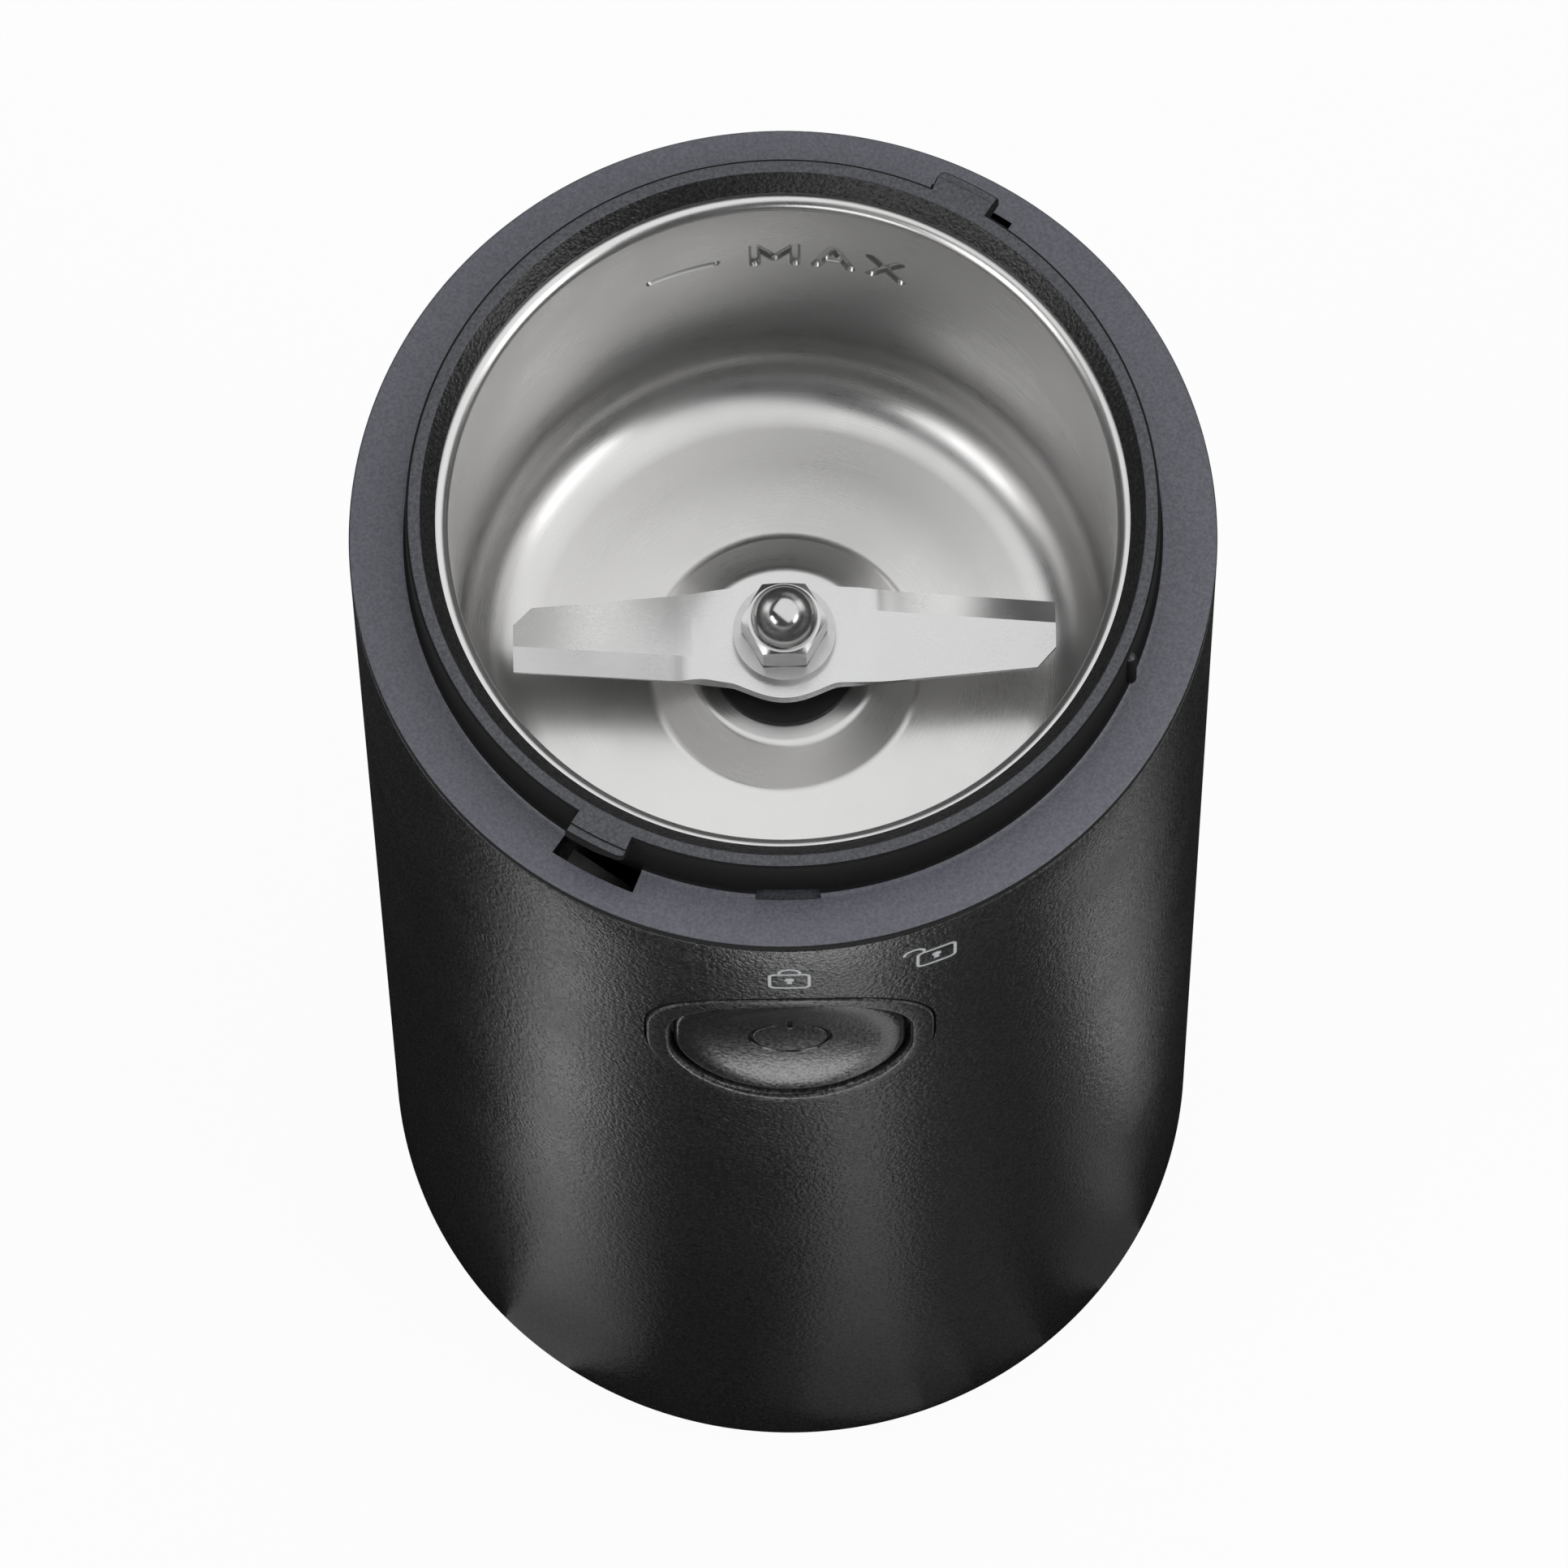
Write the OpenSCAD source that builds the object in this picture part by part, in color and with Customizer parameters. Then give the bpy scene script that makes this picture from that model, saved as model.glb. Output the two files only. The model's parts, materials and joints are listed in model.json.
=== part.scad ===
// Electric blade coffee grinder: tapered body, steel cup under a bayonet collar,
// side button, lid interlock, and a series motor hung below the cup.
// Millimetres. Z is up, the feet stand on Z = 0 and the button faces -Y.

/* [Body] */
// outside diameter at the ring plane
body_d = 92; // [88:0.5:98]
// outside diameter at the lower edge
base_d = 87.6; // [85:0.2:93]
// height from the lower edge of the shell to the ring plane
shell_h = 172; // [164:1:186]
// wall of the shell
shell_wall = 2.5; // [2:0.1:3]
// radius of the lower outer edge
base_round = 1.5; // [0.6:0.1:2.2]
// height of the parting groove below the ring
groove_h = 0.35; // [0.2:0.05:0.8]
// depth of the parting groove below the ring
groove_t = 0.9; // [0.4:0.1:1.4]
// height of the lugs that carry the inner frame
lug_h = 5; // [4:0.5:8]
// room beside a screw head under a lug
head_room = 0.6; // [0.4:0.1:1]
// thickness of the two gussets under each lug
gusset_t = 1.6; // [1.2:0.1:2.4]
// height of the gussets
gusset_h = 12; // [8:1:18]

/* [Top ring] */
// visible width of the flat ring
ring_w = 6.1; // [5.8:0.1:6.8]
// height of the ring's outer edge
ring_edge_h = 1.2; // [0.9:0.1:2]
// thickness of the ring plate
ring_t = 2.4; // [2:0.1:3.2]
// radius of the ring's upper outer edge
ring_round = 0.5; // [0.2:0.1:0.8]
// height of the collar above the ring
collar_h = 7.7; // [6.8:0.1:10]
// width of the flat top of the collar
collar_land = 1.5; // [1:0.1:2]
// wall of the collar below its lip
collar_wall = 1.95; // [1.6:0.05:2.2]
// depth of the lip over the cup's flange
lip_w = 1.2; // [0.9:0.1:1.5]
// thickness of the lip's straight edge
lip_t = 0.4; // [0.3:0.1:0.8]
// edge radius of the collar
collar_round = 0.4; // [0.2:0.1:0.6]
// length of the spigot inside the shell
spigot_h = 8; // [5:0.5:12]
// wall of the spigot
spigot_t = 1.6; // [1.2:0.1:2]
// diameter of the three screw pillars
pillar_d = 6; // [5.6:0.1:6.2]
// angle of the side pillars from the front
pillar_angle = 60; // [56:1:75]

/* [Lid lock] */
// angle of the lock from the front, toward -X
lock_angle = 28.9; // [27:0.1:31]
// angle that a lug covers
lug_span = 9.5; // [8:0.1:11]
// reach of a lug beyond the collar
lug_reach = 2.3; // [1.8:0.1:2.6]
// thickness of a lug
lug_t = 2.4; // [1.8:0.1:3]
// width of the lower strip on a lug's outer side
lug_strip = 0.9; // [0.6:0.1:1.2]
// drop of that strip
lug_drop = 0.3; // [0.2:0.1:0.6]
// rise of the lead-in under one end of a lug
lug_lead = 1; // [0.6:0.1:1.4]
// angle that a slot covers
slot_span = 12.8; // [12:0.1:14]
// width of a slot
slot_w = 3; // [2.8:0.1:3.2]
// undercut of a slot into the foot of the collar
slot_relief = 0.25; // [0.15:0.05:0.5]
// angle of the detent rib from the front, toward +X
nub_angle = 65.8; // [50:0.1:80]
// diameter of the detent rib
nub_d = 1.5; // [1:0.1:2]
// height of the detent rib
nub_h = 6; // [4:0.1:6.5]
// width of the shallow step at the front of the collar
step_w = 7; // [4:0.5:10]
// reach of that step
step_reach = 0.85; // [0.5:0.05:1.2]
// depth of that step
step_depth = 0.4; // [0.2:0.1:0.8]

/* [Cup] */
// height of the cup's rim above the ring plane
cup_rise = 5; // [4.4:0.1:5.4]
// depth of the cup from rim to floor
cup_depth = 45; // [40:1:48]
// sheet thickness of the cup
cup_wall = 0.8; // [0.6:0.1:1.2]
// width of the cup's flange beyond its outer wall
flange_w = 1.6; // [1.3:0.1:1.7]
// inner radius of the mouth
mouth_round = 1.2; // [0.8:0.1:1.6]
// narrowing of the inside radius from mouth to floor
cup_draft = 0.8; // [0.4:0.1:1.6]
// inner radius where wall and floor meet
floor_round = 8; // [6:0.5:10]
// flat diameter on the raised middle of the floor
boss_d = 20; // [18:0.5:22]
// height of the raised middle
boss_h = 2.5; // [1.5:0.1:3.5]
// plan width of its slope
boss_slope = 4.5; // [3:0.5:5]
// thickness of the ring seal on the flange
seal_t = 0.4; // [0.3:0.1:0.8]
// wall of the seal around the shaft
shaft_seal_t = 3; // [2:0.1:4]
// width of the flange of that seal
seal_flange = 2; // [1.5:0.1:3]
// thickness of the flange of that seal
seal_flange_t = 1; // [0.6:0.1:1.4]
// gap between the flange and the collar wall
flange_gap = 0.15; // [0.1:0.05:0.3]

/* [Blade] */
// tip to tip span
blade_span = 58; // [50:1:60]
// width at the root
blade_w = 11; // [9:0.5:13]
// width at the tip
blade_tip_w = 7; // [5:0.5:9]
// sheet thickness
blade_t = 1.6; // [1.2:0.1:2.2]
// pitch of the wings in degrees
blade_pitch = 12; // [6:1:18]
// plan width of the ground edge
blade_edge_w = 2.4; // [1.5:0.1:3.2]
// height of the blade above the cup floor
blade_lift = 7.5; // [7:0.1:9]
// diameter of the spacer under the blade
spacer_d = 11; // [9:0.5:13]
// diameter of the washer on the blade
washer_d = 11; // [9:0.5:13]
// thickness of that washer
washer_t = 1.2; // [0.8:0.1:1.8]
// width across the flats of the nut
nut_af = 8; // [7.5:0.1:9]
// height of the nut's hexagon
nut_h = 4.2; // [3.5:0.1:5]
// diameter of the nut's dome
dome_d = 7.2; // [6.8:0.1:7.4]

/* [Power button] */
// height of the button's axis below the ring plane
button_drop = 34.5; // [32:0.1:36]
// width of the button
button_d = 24.8; // [22:0.1:26]
// straight length between the button's round ends
button_tall = 3.6; // [2.4:0.1:4.4]
// gap around the button
button_gap = 0.4; // [0.3:0.05:0.6]
// recess of the button's face behind the bezel's face
button_recess = 0.6; // [0.4:0.1:0.8]
// thickness of the button at its rim
button_len = 4.4; // [4:0.1:4.8]
// travel of the button
button_travel = 1.6; // [1.2:0.1:2]
// depth of the hollow in its face
dish_depth = 1.25; // [0.9:0.05:1.5]
// radius of the hollow, which is round in the upright section
dish_r = 60; // [50:1:75]
// material left behind the hollow
dish_wall = 1.2; // [0.9:0.1:1.4]
// width of the stop flange behind the button
stop_w = 1; // [0.8:0.1:1.2]
// thickness of the stop flange
stop_t = 1; // [0.8:0.1:1.2]
// width of the bezel's face around the gap
bezel_w = 2.5; // [2.4:0.05:3.2]
// rise of the bezel's upright face at its upper edge
bezel_rise = 0.2; // [0.1:0.05:0.4]
// depth of the bezel's seat in the shell
bezel_seat = 1; // [0.8:0.1:1.2]
// wall of the bezel's sleeve
sleeve_t = 0.9; // [0.8:0.1:1]
// thickness of the back plate in the bezel
back_t = 1; // [0.8:0.1:1.2]
// reach of the bezel's hooks behind the shell's wall
hook_reach = 0.8; // [0.6:0.1:1]
// width of a hook
hook_w = 6; // [4:0.5:7]
// room left behind the pressed button
back_room = 1; // [0.8:0.1:1.2]
// width of the push arm
arm_w = 7; // [5:0.5:9]
// thickness of the push arm
arm_t = 1.4; // [1.2:0.1:1.5]
// mean diameter of the button's spring
spring_d = 5; // [4:0.1:6]
// wire of both return springs
spring_wire = 0.5; // [0.4:0.05:0.6]

/* [Switches] */
// thickness of a switch
switch_t = 6.4; // [6:0.1:7]
// length of a switch
switch_l = 19.8; // [19:0.1:21]
// depth of a switch
switch_h = 10.2; // [9.5:0.1:11]
// width of a switch plunger
plunger_w = 3; // [2.4:0.1:3.6]
// thickness of a switch plunger
plunger_t = 1.8; // [1.4:0.1:2.4]
// distance between the two pins of a switch
pin_pitch = 9.5; // [8:0.1:10]
// diameter of a switch pin
pin_d = 2.3; // [2:0.1:2.5]
// distance of the power switch below the carrier
switch_drop = 3; // [2:0.5:5]
// least room between the power switch and the button's back plate
back_gap = 0.6; // [0.4:0.1:0.9]
// distance of its plunger from its upper end
plunger_in = 5; // [4:0.5:7]
// length of a plunger inside its switch
plunger_hold = 2.5; // [2:0.1:3]
// width of a terminal
tag_w = 4.8; // [4:0.1:5.4]
// thickness of a terminal
tag_t = 0.8; // [0.5:0.1:1]
// length of a terminal
tag_l = 6; // [5:0.5:8]
// thickness of the walls that hold a switch
cheek_t = 1.8; // [1.4:0.1:2.2]
// width of the walls beside the power switch
cheek_w = 7; // [6:0.1:8]

/* [Interlock] */
// width of the rod
rod_w = 7; // [5:0.5:7.5]
// thickness of the rod
rod_t = 1.8; // [1.5:0.1:1.9]
// gap between the rod and the shell at the rod's foot
rod_gap = 0.7; // [0.5:0.1:1]
// depth of the rod's tip below the ring plane
rod_drop = 3; // [2.5:0.1:5]
// height of the ramp on the rod's tip
ramp_h = 3; // [2:0.1:4]
// travel of the rod
rod_travel = 2; // [1.5:0.1:2.4]
// thickness of the rod's foot
foot_t = 2.5; // [2:0.1:3]
// thickness of the rod's spring tab
tab_t = 2; // [1.5:0.1:3]
// length of the return spring
rod_spring_l = 10; // [8:0.5:14]
// mean diameter of the return spring
rod_spring_d = 3.6; // [3:0.1:4]
// distance of the spring from the rod's middle
rod_spring_x = 7.5; // [6.5:0.1:8]
// distance of the spring inside the rod's inner face
rod_spring_in = 1; // [0.5:0.1:1.2]

/* [Carrier] */
// gap between the carrier disc and the bezel's back plate
carrier_gap = 1.2; // [0.8:0.1:2]
// thickness of the carrier disc
carrier_t = 3; // [2.5:0.1:4]
// height of the pad ring under the cup
pad_h = 4.2; // [3.6:0.1:6]
// bore of the pad ring
pad_bore = 31; // [30:0.5:33]
// wall of the pad ring
pad_t = 4; // [3:0.1:4.4]
// diameter of the middle opening
carrier_bore = 24; // [21:0.5:26]

/* [Motor] */
// shaft diameter
shaft_d = 6; // [5:0.1:7]
// diameter of the stud for the blade
stud_d = 5; // [4:0.1:5.4]
// stator diameter
stator_d = 54; // [54:0.5:58]
// stator width across its flats
stator_flat = 45; // [44:0.5:48]
// height of the lamination stack
stack_h = 24; // [18:1:30]
// width of the coil slots outside the pole shoes
coil_w = 3.7; // [3.3:0.1:4.1]
// air gap between armature and stator
air_gap = 0.4; // [0.35:0.05:0.6]
// thickness of the pole shoes
shoe_t = 2.5; // [2:0.1:3]
// overhang of a pole shoe beyond its pole
shoe_over = 7.3; // [6.3:0.1:8.3]
// half opening between the pole shoes
pole_gap = 3.5; // [3:0.1:4]
// width of the yoke beside the coil slots
yoke_w = 6.5; // [6.2:0.1:7]
// width of the yoke behind the poles
yoke_t = 9; // [8:0.1:10.5]
// height of the end turns
turn_h = 5.7; // [4:0.1:6.5]
// distance of the end turns from the stator's outside
coil_in = 5; // [4.7:0.1:6]
// gap between windings and iron
coil_gap = 0.3; // [0.2:0.05:0.5]
// number of armature slots
slots = 12; // [10:1:14]
// radius of an armature slot
slot_r = 1.7; // [1.4:0.1:1.9]
// opening of an armature slot
slot_mouth = 1.4; // [1:0.1:1.8]
// depth of the slot's mouth
mouth_t = 1.4; // [1:0.1:1.8]
// number of commutator bars
bars = 24; // [16:2:28]
// commutator diameter
comm_d = 20; // [18:0.5:22]
// height of the commutator
comm_h = 13; // [11:0.5:14]
// wall of the bars
bar_t = 3.8; // [3:0.1:4.4]
// gap between the bars
bar_gap = 0.5; // [0.4:0.05:0.7]
// distance of the bolts from the stator's outside
bolt_in = 3; // [2.6:0.1:3.2]
// diameter of the stator bolts and the motor screws
bolt_d = 4; // [3.5:0.1:4.2]
// diameter of the bracket legs
leg_d = 8; // [7:0.1:8.2]
// room between stack and upper bracket
upper_room = 8; // [7.5:0.5:12]
// room between stack and lower bracket
lower_room = 26; // [25:0.5:30]
// thickness of the upper bracket
upper_t = 2.5; // [2:0.1:4]
// thickness of the lower bracket
lower_t = 4; // [3:0.1:5]
// outside diameter of the bearings
bearing_d = 13; // [12:0.1:14]
// length of the bearings
bearing_h = 6.5; // [5:0.1:8]
// outside diameter of the bearing hubs
hub_d = 18; // [17:0.5:20]
// floor of the lower hub
hub_floor = 3; // [2:0.5:4]
// width of the thrust collar
thrust_w = 2.5; // [2:0.1:3]
// height of the thrust collar
thrust_t = 4; // [3:0.1:5]
// circle diameter of the rubber mounts
mount_pcd = 48; // [47:0.5:50]
// diameter of the rubber mounts
mount_d = 11; // [10:0.1:12]
// height of the rubber mounts
mount_h = 7.5; // [7:0.5:10]
// side of a carbon brush
brush_s = 6; // [5:0.1:6.5]
// length of a carbon brush
brush_l = 10; // [8:0.5:12]
// wall of a brush holder
holder_t = 0.9; // [0.6:0.1:1.2]
// length of a brush holder
holder_l = 15; // [14:0.5:17]
// start of a brush holder beyond the commutator
holder_gap = 2.5; // [1.5:0.1:3]
// mean diameter of a brush spring
brush_spring_d = 4.4; // [3.8:0.1:4.6]

/* [Leads] */
// diameter of a lead
lead_d = 1.8; // [1.4:0.1:2.2]
// straight length at the end of a lead
lead_end = 4; // [3:0.5:5]
// slack of the lead between the switches
lead_slack = 8; // [6:0.5:12]
// distance of the motor's lead from the brush holder
lead_off = 5; // [4:0.5:7]

/* [Base] */
// gap between the lower edge and the table
foot_gap = 2; // [1.5:0.1:4]
// recess of the base plate above the lower edge
plate_in = 1.2; // [0.8:0.1:3]
// thickness of the base plate
plate_t = 3; // [2.6:0.1:4]
// gap between the base plate and the shell
plate_gap = 0.3; // [0.2:0.05:0.5]
// diameter of a foot
foot_d = 11; // [9:0.5:13]
// circle diameter of the feet
foot_pcd = 63; // [60:1:66]
// diameter of a foot's neck
neck_d = 6; // [5:0.1:7]
// diameter of the screw bosses
post_d = 7; // [6:0.1:8]
// height of the screw bosses
post_h = 22; // [16:1:30]
// thickness of the webs behind the bosses
web_t = 3; // [2:0.1:4]
// number of air slots
vents = 18; // [12:1:20]
// width of an air slot
vent_w = 2.6; // [2:0.1:3]
// inner end of the air slots
vent_in = 12.5; // [12:0.1:13.5]
// outer end of the air slots
vent_out = 24; // [20:0.1:24.5]

/* [Cord inlet] */
// height of the inlet's axis above the base plate
inlet_rise = 5.8; // [5.4:0.1:9]
// bore of the inlet
inlet_bore = 6.4; // [5.5:0.1:7]
// width of the inlet's neck
inlet_w = 10; // [9:0.1:11]
// width of the flanges beyond the neck
inlet_rim = 1.8; // [1.2:0.1:2.4]
// thickness of the flanges
inlet_t = 1.6; // [1:0.1:1.8]

/* [Screws] */
// shank diameter of housing and base screws
screw_d = 2.9; // [2.5:0.1:3]
// head diameter
head_d = 5.6; // [5:0.1:6]
// head height
head_h = 1.7; // [1.4:0.1:1.8]
// length of a screw in its pilot hole
screw_grip = 12; // [8:1:14]

/* [Fits] */
// radial clearance of parts that are pressed or screwed together
fit = 0.05; // [0.03:0.01:0.08]
// radial clearance of a shaft in its bearings
run_fit = 0.04; // [0.03:0.01:0.06]
// gap between parts that move past each other
slide_gap = 0.4; // [0.3:0.05:0.5]
// gap between parts that seat loosely
seat_gap = 0.1; // [0.08:0.01:0.15]
// radial clearance of a screw in a through hole
through = 0.25; // [0.2:0.05:0.35]
// gap between a switch and the shell
switch_room = 1.7; // [1.5:0.1:2.2]

/* [Hidden] */
$fn = 96;
eps = 0.01;

// heights
z_edge = foot_gap;
z_ring = z_edge + shell_h;
z_land = z_ring - ring_edge_h;
z_under = z_ring - ring_t;
z_spigot = z_land - spigot_h;
z_collar = z_ring + collar_h;
z_rim = z_ring + cup_rise;
z_lip = z_rim + seal_t;
z_floor = z_rim - cup_depth;
z_pad = z_floor - cup_wall;
z_deck = z_pad - pad_h;
z_carrier = z_deck - carrier_t;
z_lug = z_carrier - lug_h;
z_upper = z_carrier - mount_h - upper_t;
z_stack = z_upper - upper_room - stack_h;
z_stack_top = z_stack + stack_h;
z_lower_top = z_stack - lower_room;
z_lower = z_lower_top - lower_t;
z_hub = z_lower_top - bearing_h - hub_floor;
z_comm = z_lower_top + thrust_t + 2 * run_fit;
z_comm_mid = z_comm + comm_h / 2;
z_boss = z_floor + boss_h;
z_spacer = z_boss + seal_flange_t + slide_gap;
z_blade = z_floor + blade_lift;
z_washer = z_blade + blade_t;
z_nut = z_washer + washer_t;
z_button = z_ring - button_drop;
z_plate = z_edge + plate_in;
z_plate_top = z_plate + plate_t;
z_inlet = z_plate_top + inlet_rise;
z_foot = z_carrier - seat_gap - foot_t;
z_rod = z_ring - rod_drop;
z_tab = z_deck + rod_spring_l;
z_lock = z_foot - seat_gap - rod_travel - slide_gap - switch_h;

// the tapered outside of the body
function body_r(z) = base_d / 2 + (body_d - base_d) / 2 * (z - z_edge) / shell_h;
function bore_r(z) = body_r(z) - shell_wall;

// plan point at radius r and angle a from the front toward +X
function spot(r, a) = [r * sin(a), -r * cos(a)];

// points of an arc
function arc(cx, cy, r, a0, a1, n = 6) =
    [for (i = [0:n]) let (a = a0 + (a1 - a0) * i / n) [cx + r * cos(a), cy + r * sin(a)]];

// radii of shaft, ring, collar and cup
shaft_r = shaft_d / 2;
cup_hole_r = shaft_r + shaft_seal_t;
collar_r = body_d / 2 - ring_w;
collar_ir = collar_r - collar_wall;
flange_r = collar_ir - flange_gap;
lip_r = collar_ir - lip_w;
cup_or = flange_r - flange_w;
cup_ir = cup_or - cup_wall;
cup_low_r = cup_ir - cup_draft;
land_ir = collar_r - collar_land;

// pillars and their screws
pillar_angles = [-pillar_angle, pillar_angle, 180];
lug_w = head_d + 2 * (head_room + gusset_t);
pillar_r = bore_r(z_carrier) - slide_gap - pillar_d / 2;
post_angles = [0, 120, 240];
post_r = bore_r(z_plate_top) - slide_gap - post_d / 2;

// button and bezel, measured along the button's axis
face_r = body_r(z_button);
button_r = button_d / 2;
bezel_ir = button_r + button_gap;
bezel_r = bezel_ir + bezel_w;
bezel_half = bezel_r + button_tall / 2;
bezel_face_r = body_r(z_button + bezel_half) + bezel_rise;
button_face_r = bezel_face_r - button_recess;
stop_r = button_r + stop_w;
sleeve_ir = stop_r + slide_gap;
sleeve_r = sleeve_ir + sleeve_t;
y_face = -button_face_r;
y_back = y_face + button_len;
y_wall = y_back + button_travel + back_room;
y_pocket = y_face + dish_depth + dish_wall;
y_switch = y_back + seat_gap + button_travel + slide_gap;
cheek_x = switch_t / 2 + seat_gap + cheek_t / 2;
carrier_r = -(y_wall + back_t) - carrier_gap;
back_r = sleeve_ir - fit;

// the power switch hangs under the carrier, and lower where the button's back plate needs room
z_back_low = z_button - back_r - button_tall / 2;
z_switch_top = min(z_carrier - switch_drop, z_back_low - back_gap);
z_switch = z_switch_top - switch_l;
z_plunger = z_switch_top - plunger_in;

// interlock rod and its switch
rod_r1 = bore_r(z_foot) - rod_gap;
rod_r0 = rod_r1 - rod_t;
lock_face = bore_r(z_lock) - switch_room;
lock_mid = lock_face - switch_t / 2;
lock_back = lock_face - switch_t - seat_gap;
spring_r = rod_r0 - rod_spring_in;

// terminals under the two switches
tag_y = [y_switch + switch_h / 4, y_switch + switch_h * 3 / 4];
tag_x = switch_l * 0.3;

// motor
slot_out = stator_d / 2 - yoke_w;
shoe_r = slot_out - coil_w;
pole_w = shoe_r - shoe_over;
stator_bore = shoe_r - shoe_t;
armature_d = 2 * (stator_bore - air_gap);
slot_half = stator_flat / 2 - yoke_t;
coil_r = stator_d / 2 - coil_in;
bolt_x = stator_d / 2 - bolt_in;
holder_y = comm_d / 2 + holder_gap;
holder_w = brush_s + 2 * (seat_gap + holder_t);
armature_slot_r = armature_d / 2 - slot_r - mouth_t;
z_turn = z_stack - turn_h - coil_gap;
coil_mid = (shoe_r + coil_gap + coil_r) / 2;
mount_angles = [45, 135, 225, 315];
bracket_half = mount_pcd / 2 * sin(45) + mount_d / 2;

// solid with the body's taper, offset from its outside
module taper(off, z0, z1) {
    translate([0, 0, z0])
        cylinder(h = z1 - z0, r1 = body_r(z0) + off, r2 = body_r(z1) + off);
}

// round bar along Y
module bar_y(r, y0, y1, z) {
    translate([0, y0, z])
        rotate([-90, 0, 0])
            cylinder(h = y1 - y0, r = r);
}

// bar along Y with the button's outline, round above and below
module pill_y(r, y0, y1) {
    translate([0, y0, z_button])
        rotate([-90, 0, 0])
            linear_extrude(y1 - y0) {
                for (s = [-1, 1])
                    translate([0, s * button_tall / 2])
                        circle(r);
                square([2 * r, button_tall], center = true);
            }
}

// upright face of bezel or button
module face(r) {
    translate([0, 0, z_button - bezel_half - 5])
        cylinder(h = 2 * bezel_half + 10, r = r);
}

// box from one corner to the opposite one
module block(a, b) {
    translate(a)
        cube(b - a);
}

// ring between two heights
module tube(r0, r1, z0, z1) {
    translate([0, 0, z0])
        difference() {
            cylinder(h = z1 - z0, r = r1);
            translate([0, 0, -1])
                cylinder(h = z1 - z0 + 2, r = r0);
        }
}

// part of a ring, centred on the front
module sector(r0, r1, span, z0, z1) {
    translate([0, 0, z0])
        linear_extrude(z1 - z0)
            intersection() {
                difference() {
                    circle(r1);
                    circle(r0);
                }
                polygon([[0, 0], spot(2 * r1, -span / 2), spot(2 * r1, span / 2)]);
            }
}

// closed skin over rings of points
module skin(points, sides) {
    last = len(points) - sides;
    wall = [for (i = [0:sides:last - sides], j = [0:sides - 1], k = [0:1])
        let (p = i + j, q = i + (j + 1) % sides)
        k == 0 ? [p, q, q + sides] : [p, q + sides, p + sides]];
    start = [for (j = [1:sides - 2]) [0, j + 1, j]];
    end = [for (j = [1:sides - 2]) [last, last + j, last + j + 1]];
    polyhedron(points, concat(wall, start, end));
}

// wound spring that stands on Z = 0
module coil(d, wire, len, turns) {
    sides = 6;
    rings = 12 * turns;
    skin([for (i = [0:rings], j = [0:sides - 1])
        let (a = 360 * turns * i / rings, b = 360 * j / sides, w = wire / 2)
        [(d / 2 + w * cos(b)) * cos(a), (d / 2 + w * cos(b)) * sin(a),
            w + (len - wire) * i / rings + w * sin(b)]], sides);
}

// smooth curve through points, n steps to a span
function curve(p, n) =
    let (m = len(p) - 1, q = concat([2 * p[0] - p[1]], p, [2 * p[m] - p[m - 1]]))
    concat([for (i = [0:m - 1], k = [0:n - 1])
        let (t = k / n, a = q[i], b = q[i + 1], c = q[i + 2], d = q[i + 3])
        b + t / 2 * (c - a + t * (2 * a - 5 * b + 4 * c - d + t * (3 * b - a - 3 * c + d)))],
        [p[m]]);

// lead along a curve with flat ends, side is a direction that the curve never takes
module lead(p, side) {
    sides = 8;
    m = len(p) - 1;
    path = curve(p, 7);
    last = len(path) - 1;
    skin([for (i = [0:last], j = [0:sides - 1])
        let (t = i == 0 ? p[1] - p[0] : i == last ? p[m] - p[m - 1] : path[i + 1] - path[i - 1],
            u = cross(t, side) / norm(cross(t, side)), v = cross(u, t) / norm(t), b = 360 * j / sides)
        path[i] + lead_d / 2 * (u * cos(b) + v * sin(b))], sides);
}

// outline of the cord bush, seen along Y
module inlet_shape(w, low, y0, y1) {
    bar_y(w / 2, y0, y1, z_inlet);
    block([-w / 2, y0, low], [w / 2, y1, z_inlet]);
}

module outer_shell() {
    color("#24262a")
        difference() {
            union() {
                rotate_extrude()
                    polygon(concat(
                        [[bore_r(z_edge), z_edge]],
                        arc(body_r(z_edge) - base_round, z_edge + base_round, base_round, -90, 0),
                        [[body_r(z_land - groove_h), z_land - groove_h],
                            [body_r(z_land) - groove_t, z_land - groove_h],
                            [body_r(z_land) - groove_t, z_land],
                            [bore_r(z_land), z_land]]));
                for (a = pillar_angles)
                    rotate([0, 0, a])
                        shell_lug();
                for (a = post_angles)
                    rotate([0, 0, a])
                        shell_post();
            }
            difference() {
                pill_y(bezel_r + seat_gap, -face_r - 5, y_back);
                taper(-bezel_seat, z_button - bezel_half - 5, z_button + bezel_half + 5);
            }
            pill_y(sleeve_r + seat_gap, -face_r - 5, y_wall);
            inlet_shape(inlet_w + 2 * seat_gap, z_edge - 1, bore_r(z_inlet) - 3, body_r(z_inlet) + 3);
            for (a = pillar_angles)
                rotate([0, 0, a])
                    translate([0, -pillar_r, z_lug - 1])
                        cylinder(h = lug_h + 2, r = screw_d / 2 + through);
            for (a = post_angles)
                rotate([0, 0, a])
                    translate([0, -post_r, z_plate_top - 1])
                        cylinder(h = screw_grip + 2, r = screw_d / 2 + fit);
        }
}

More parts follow.
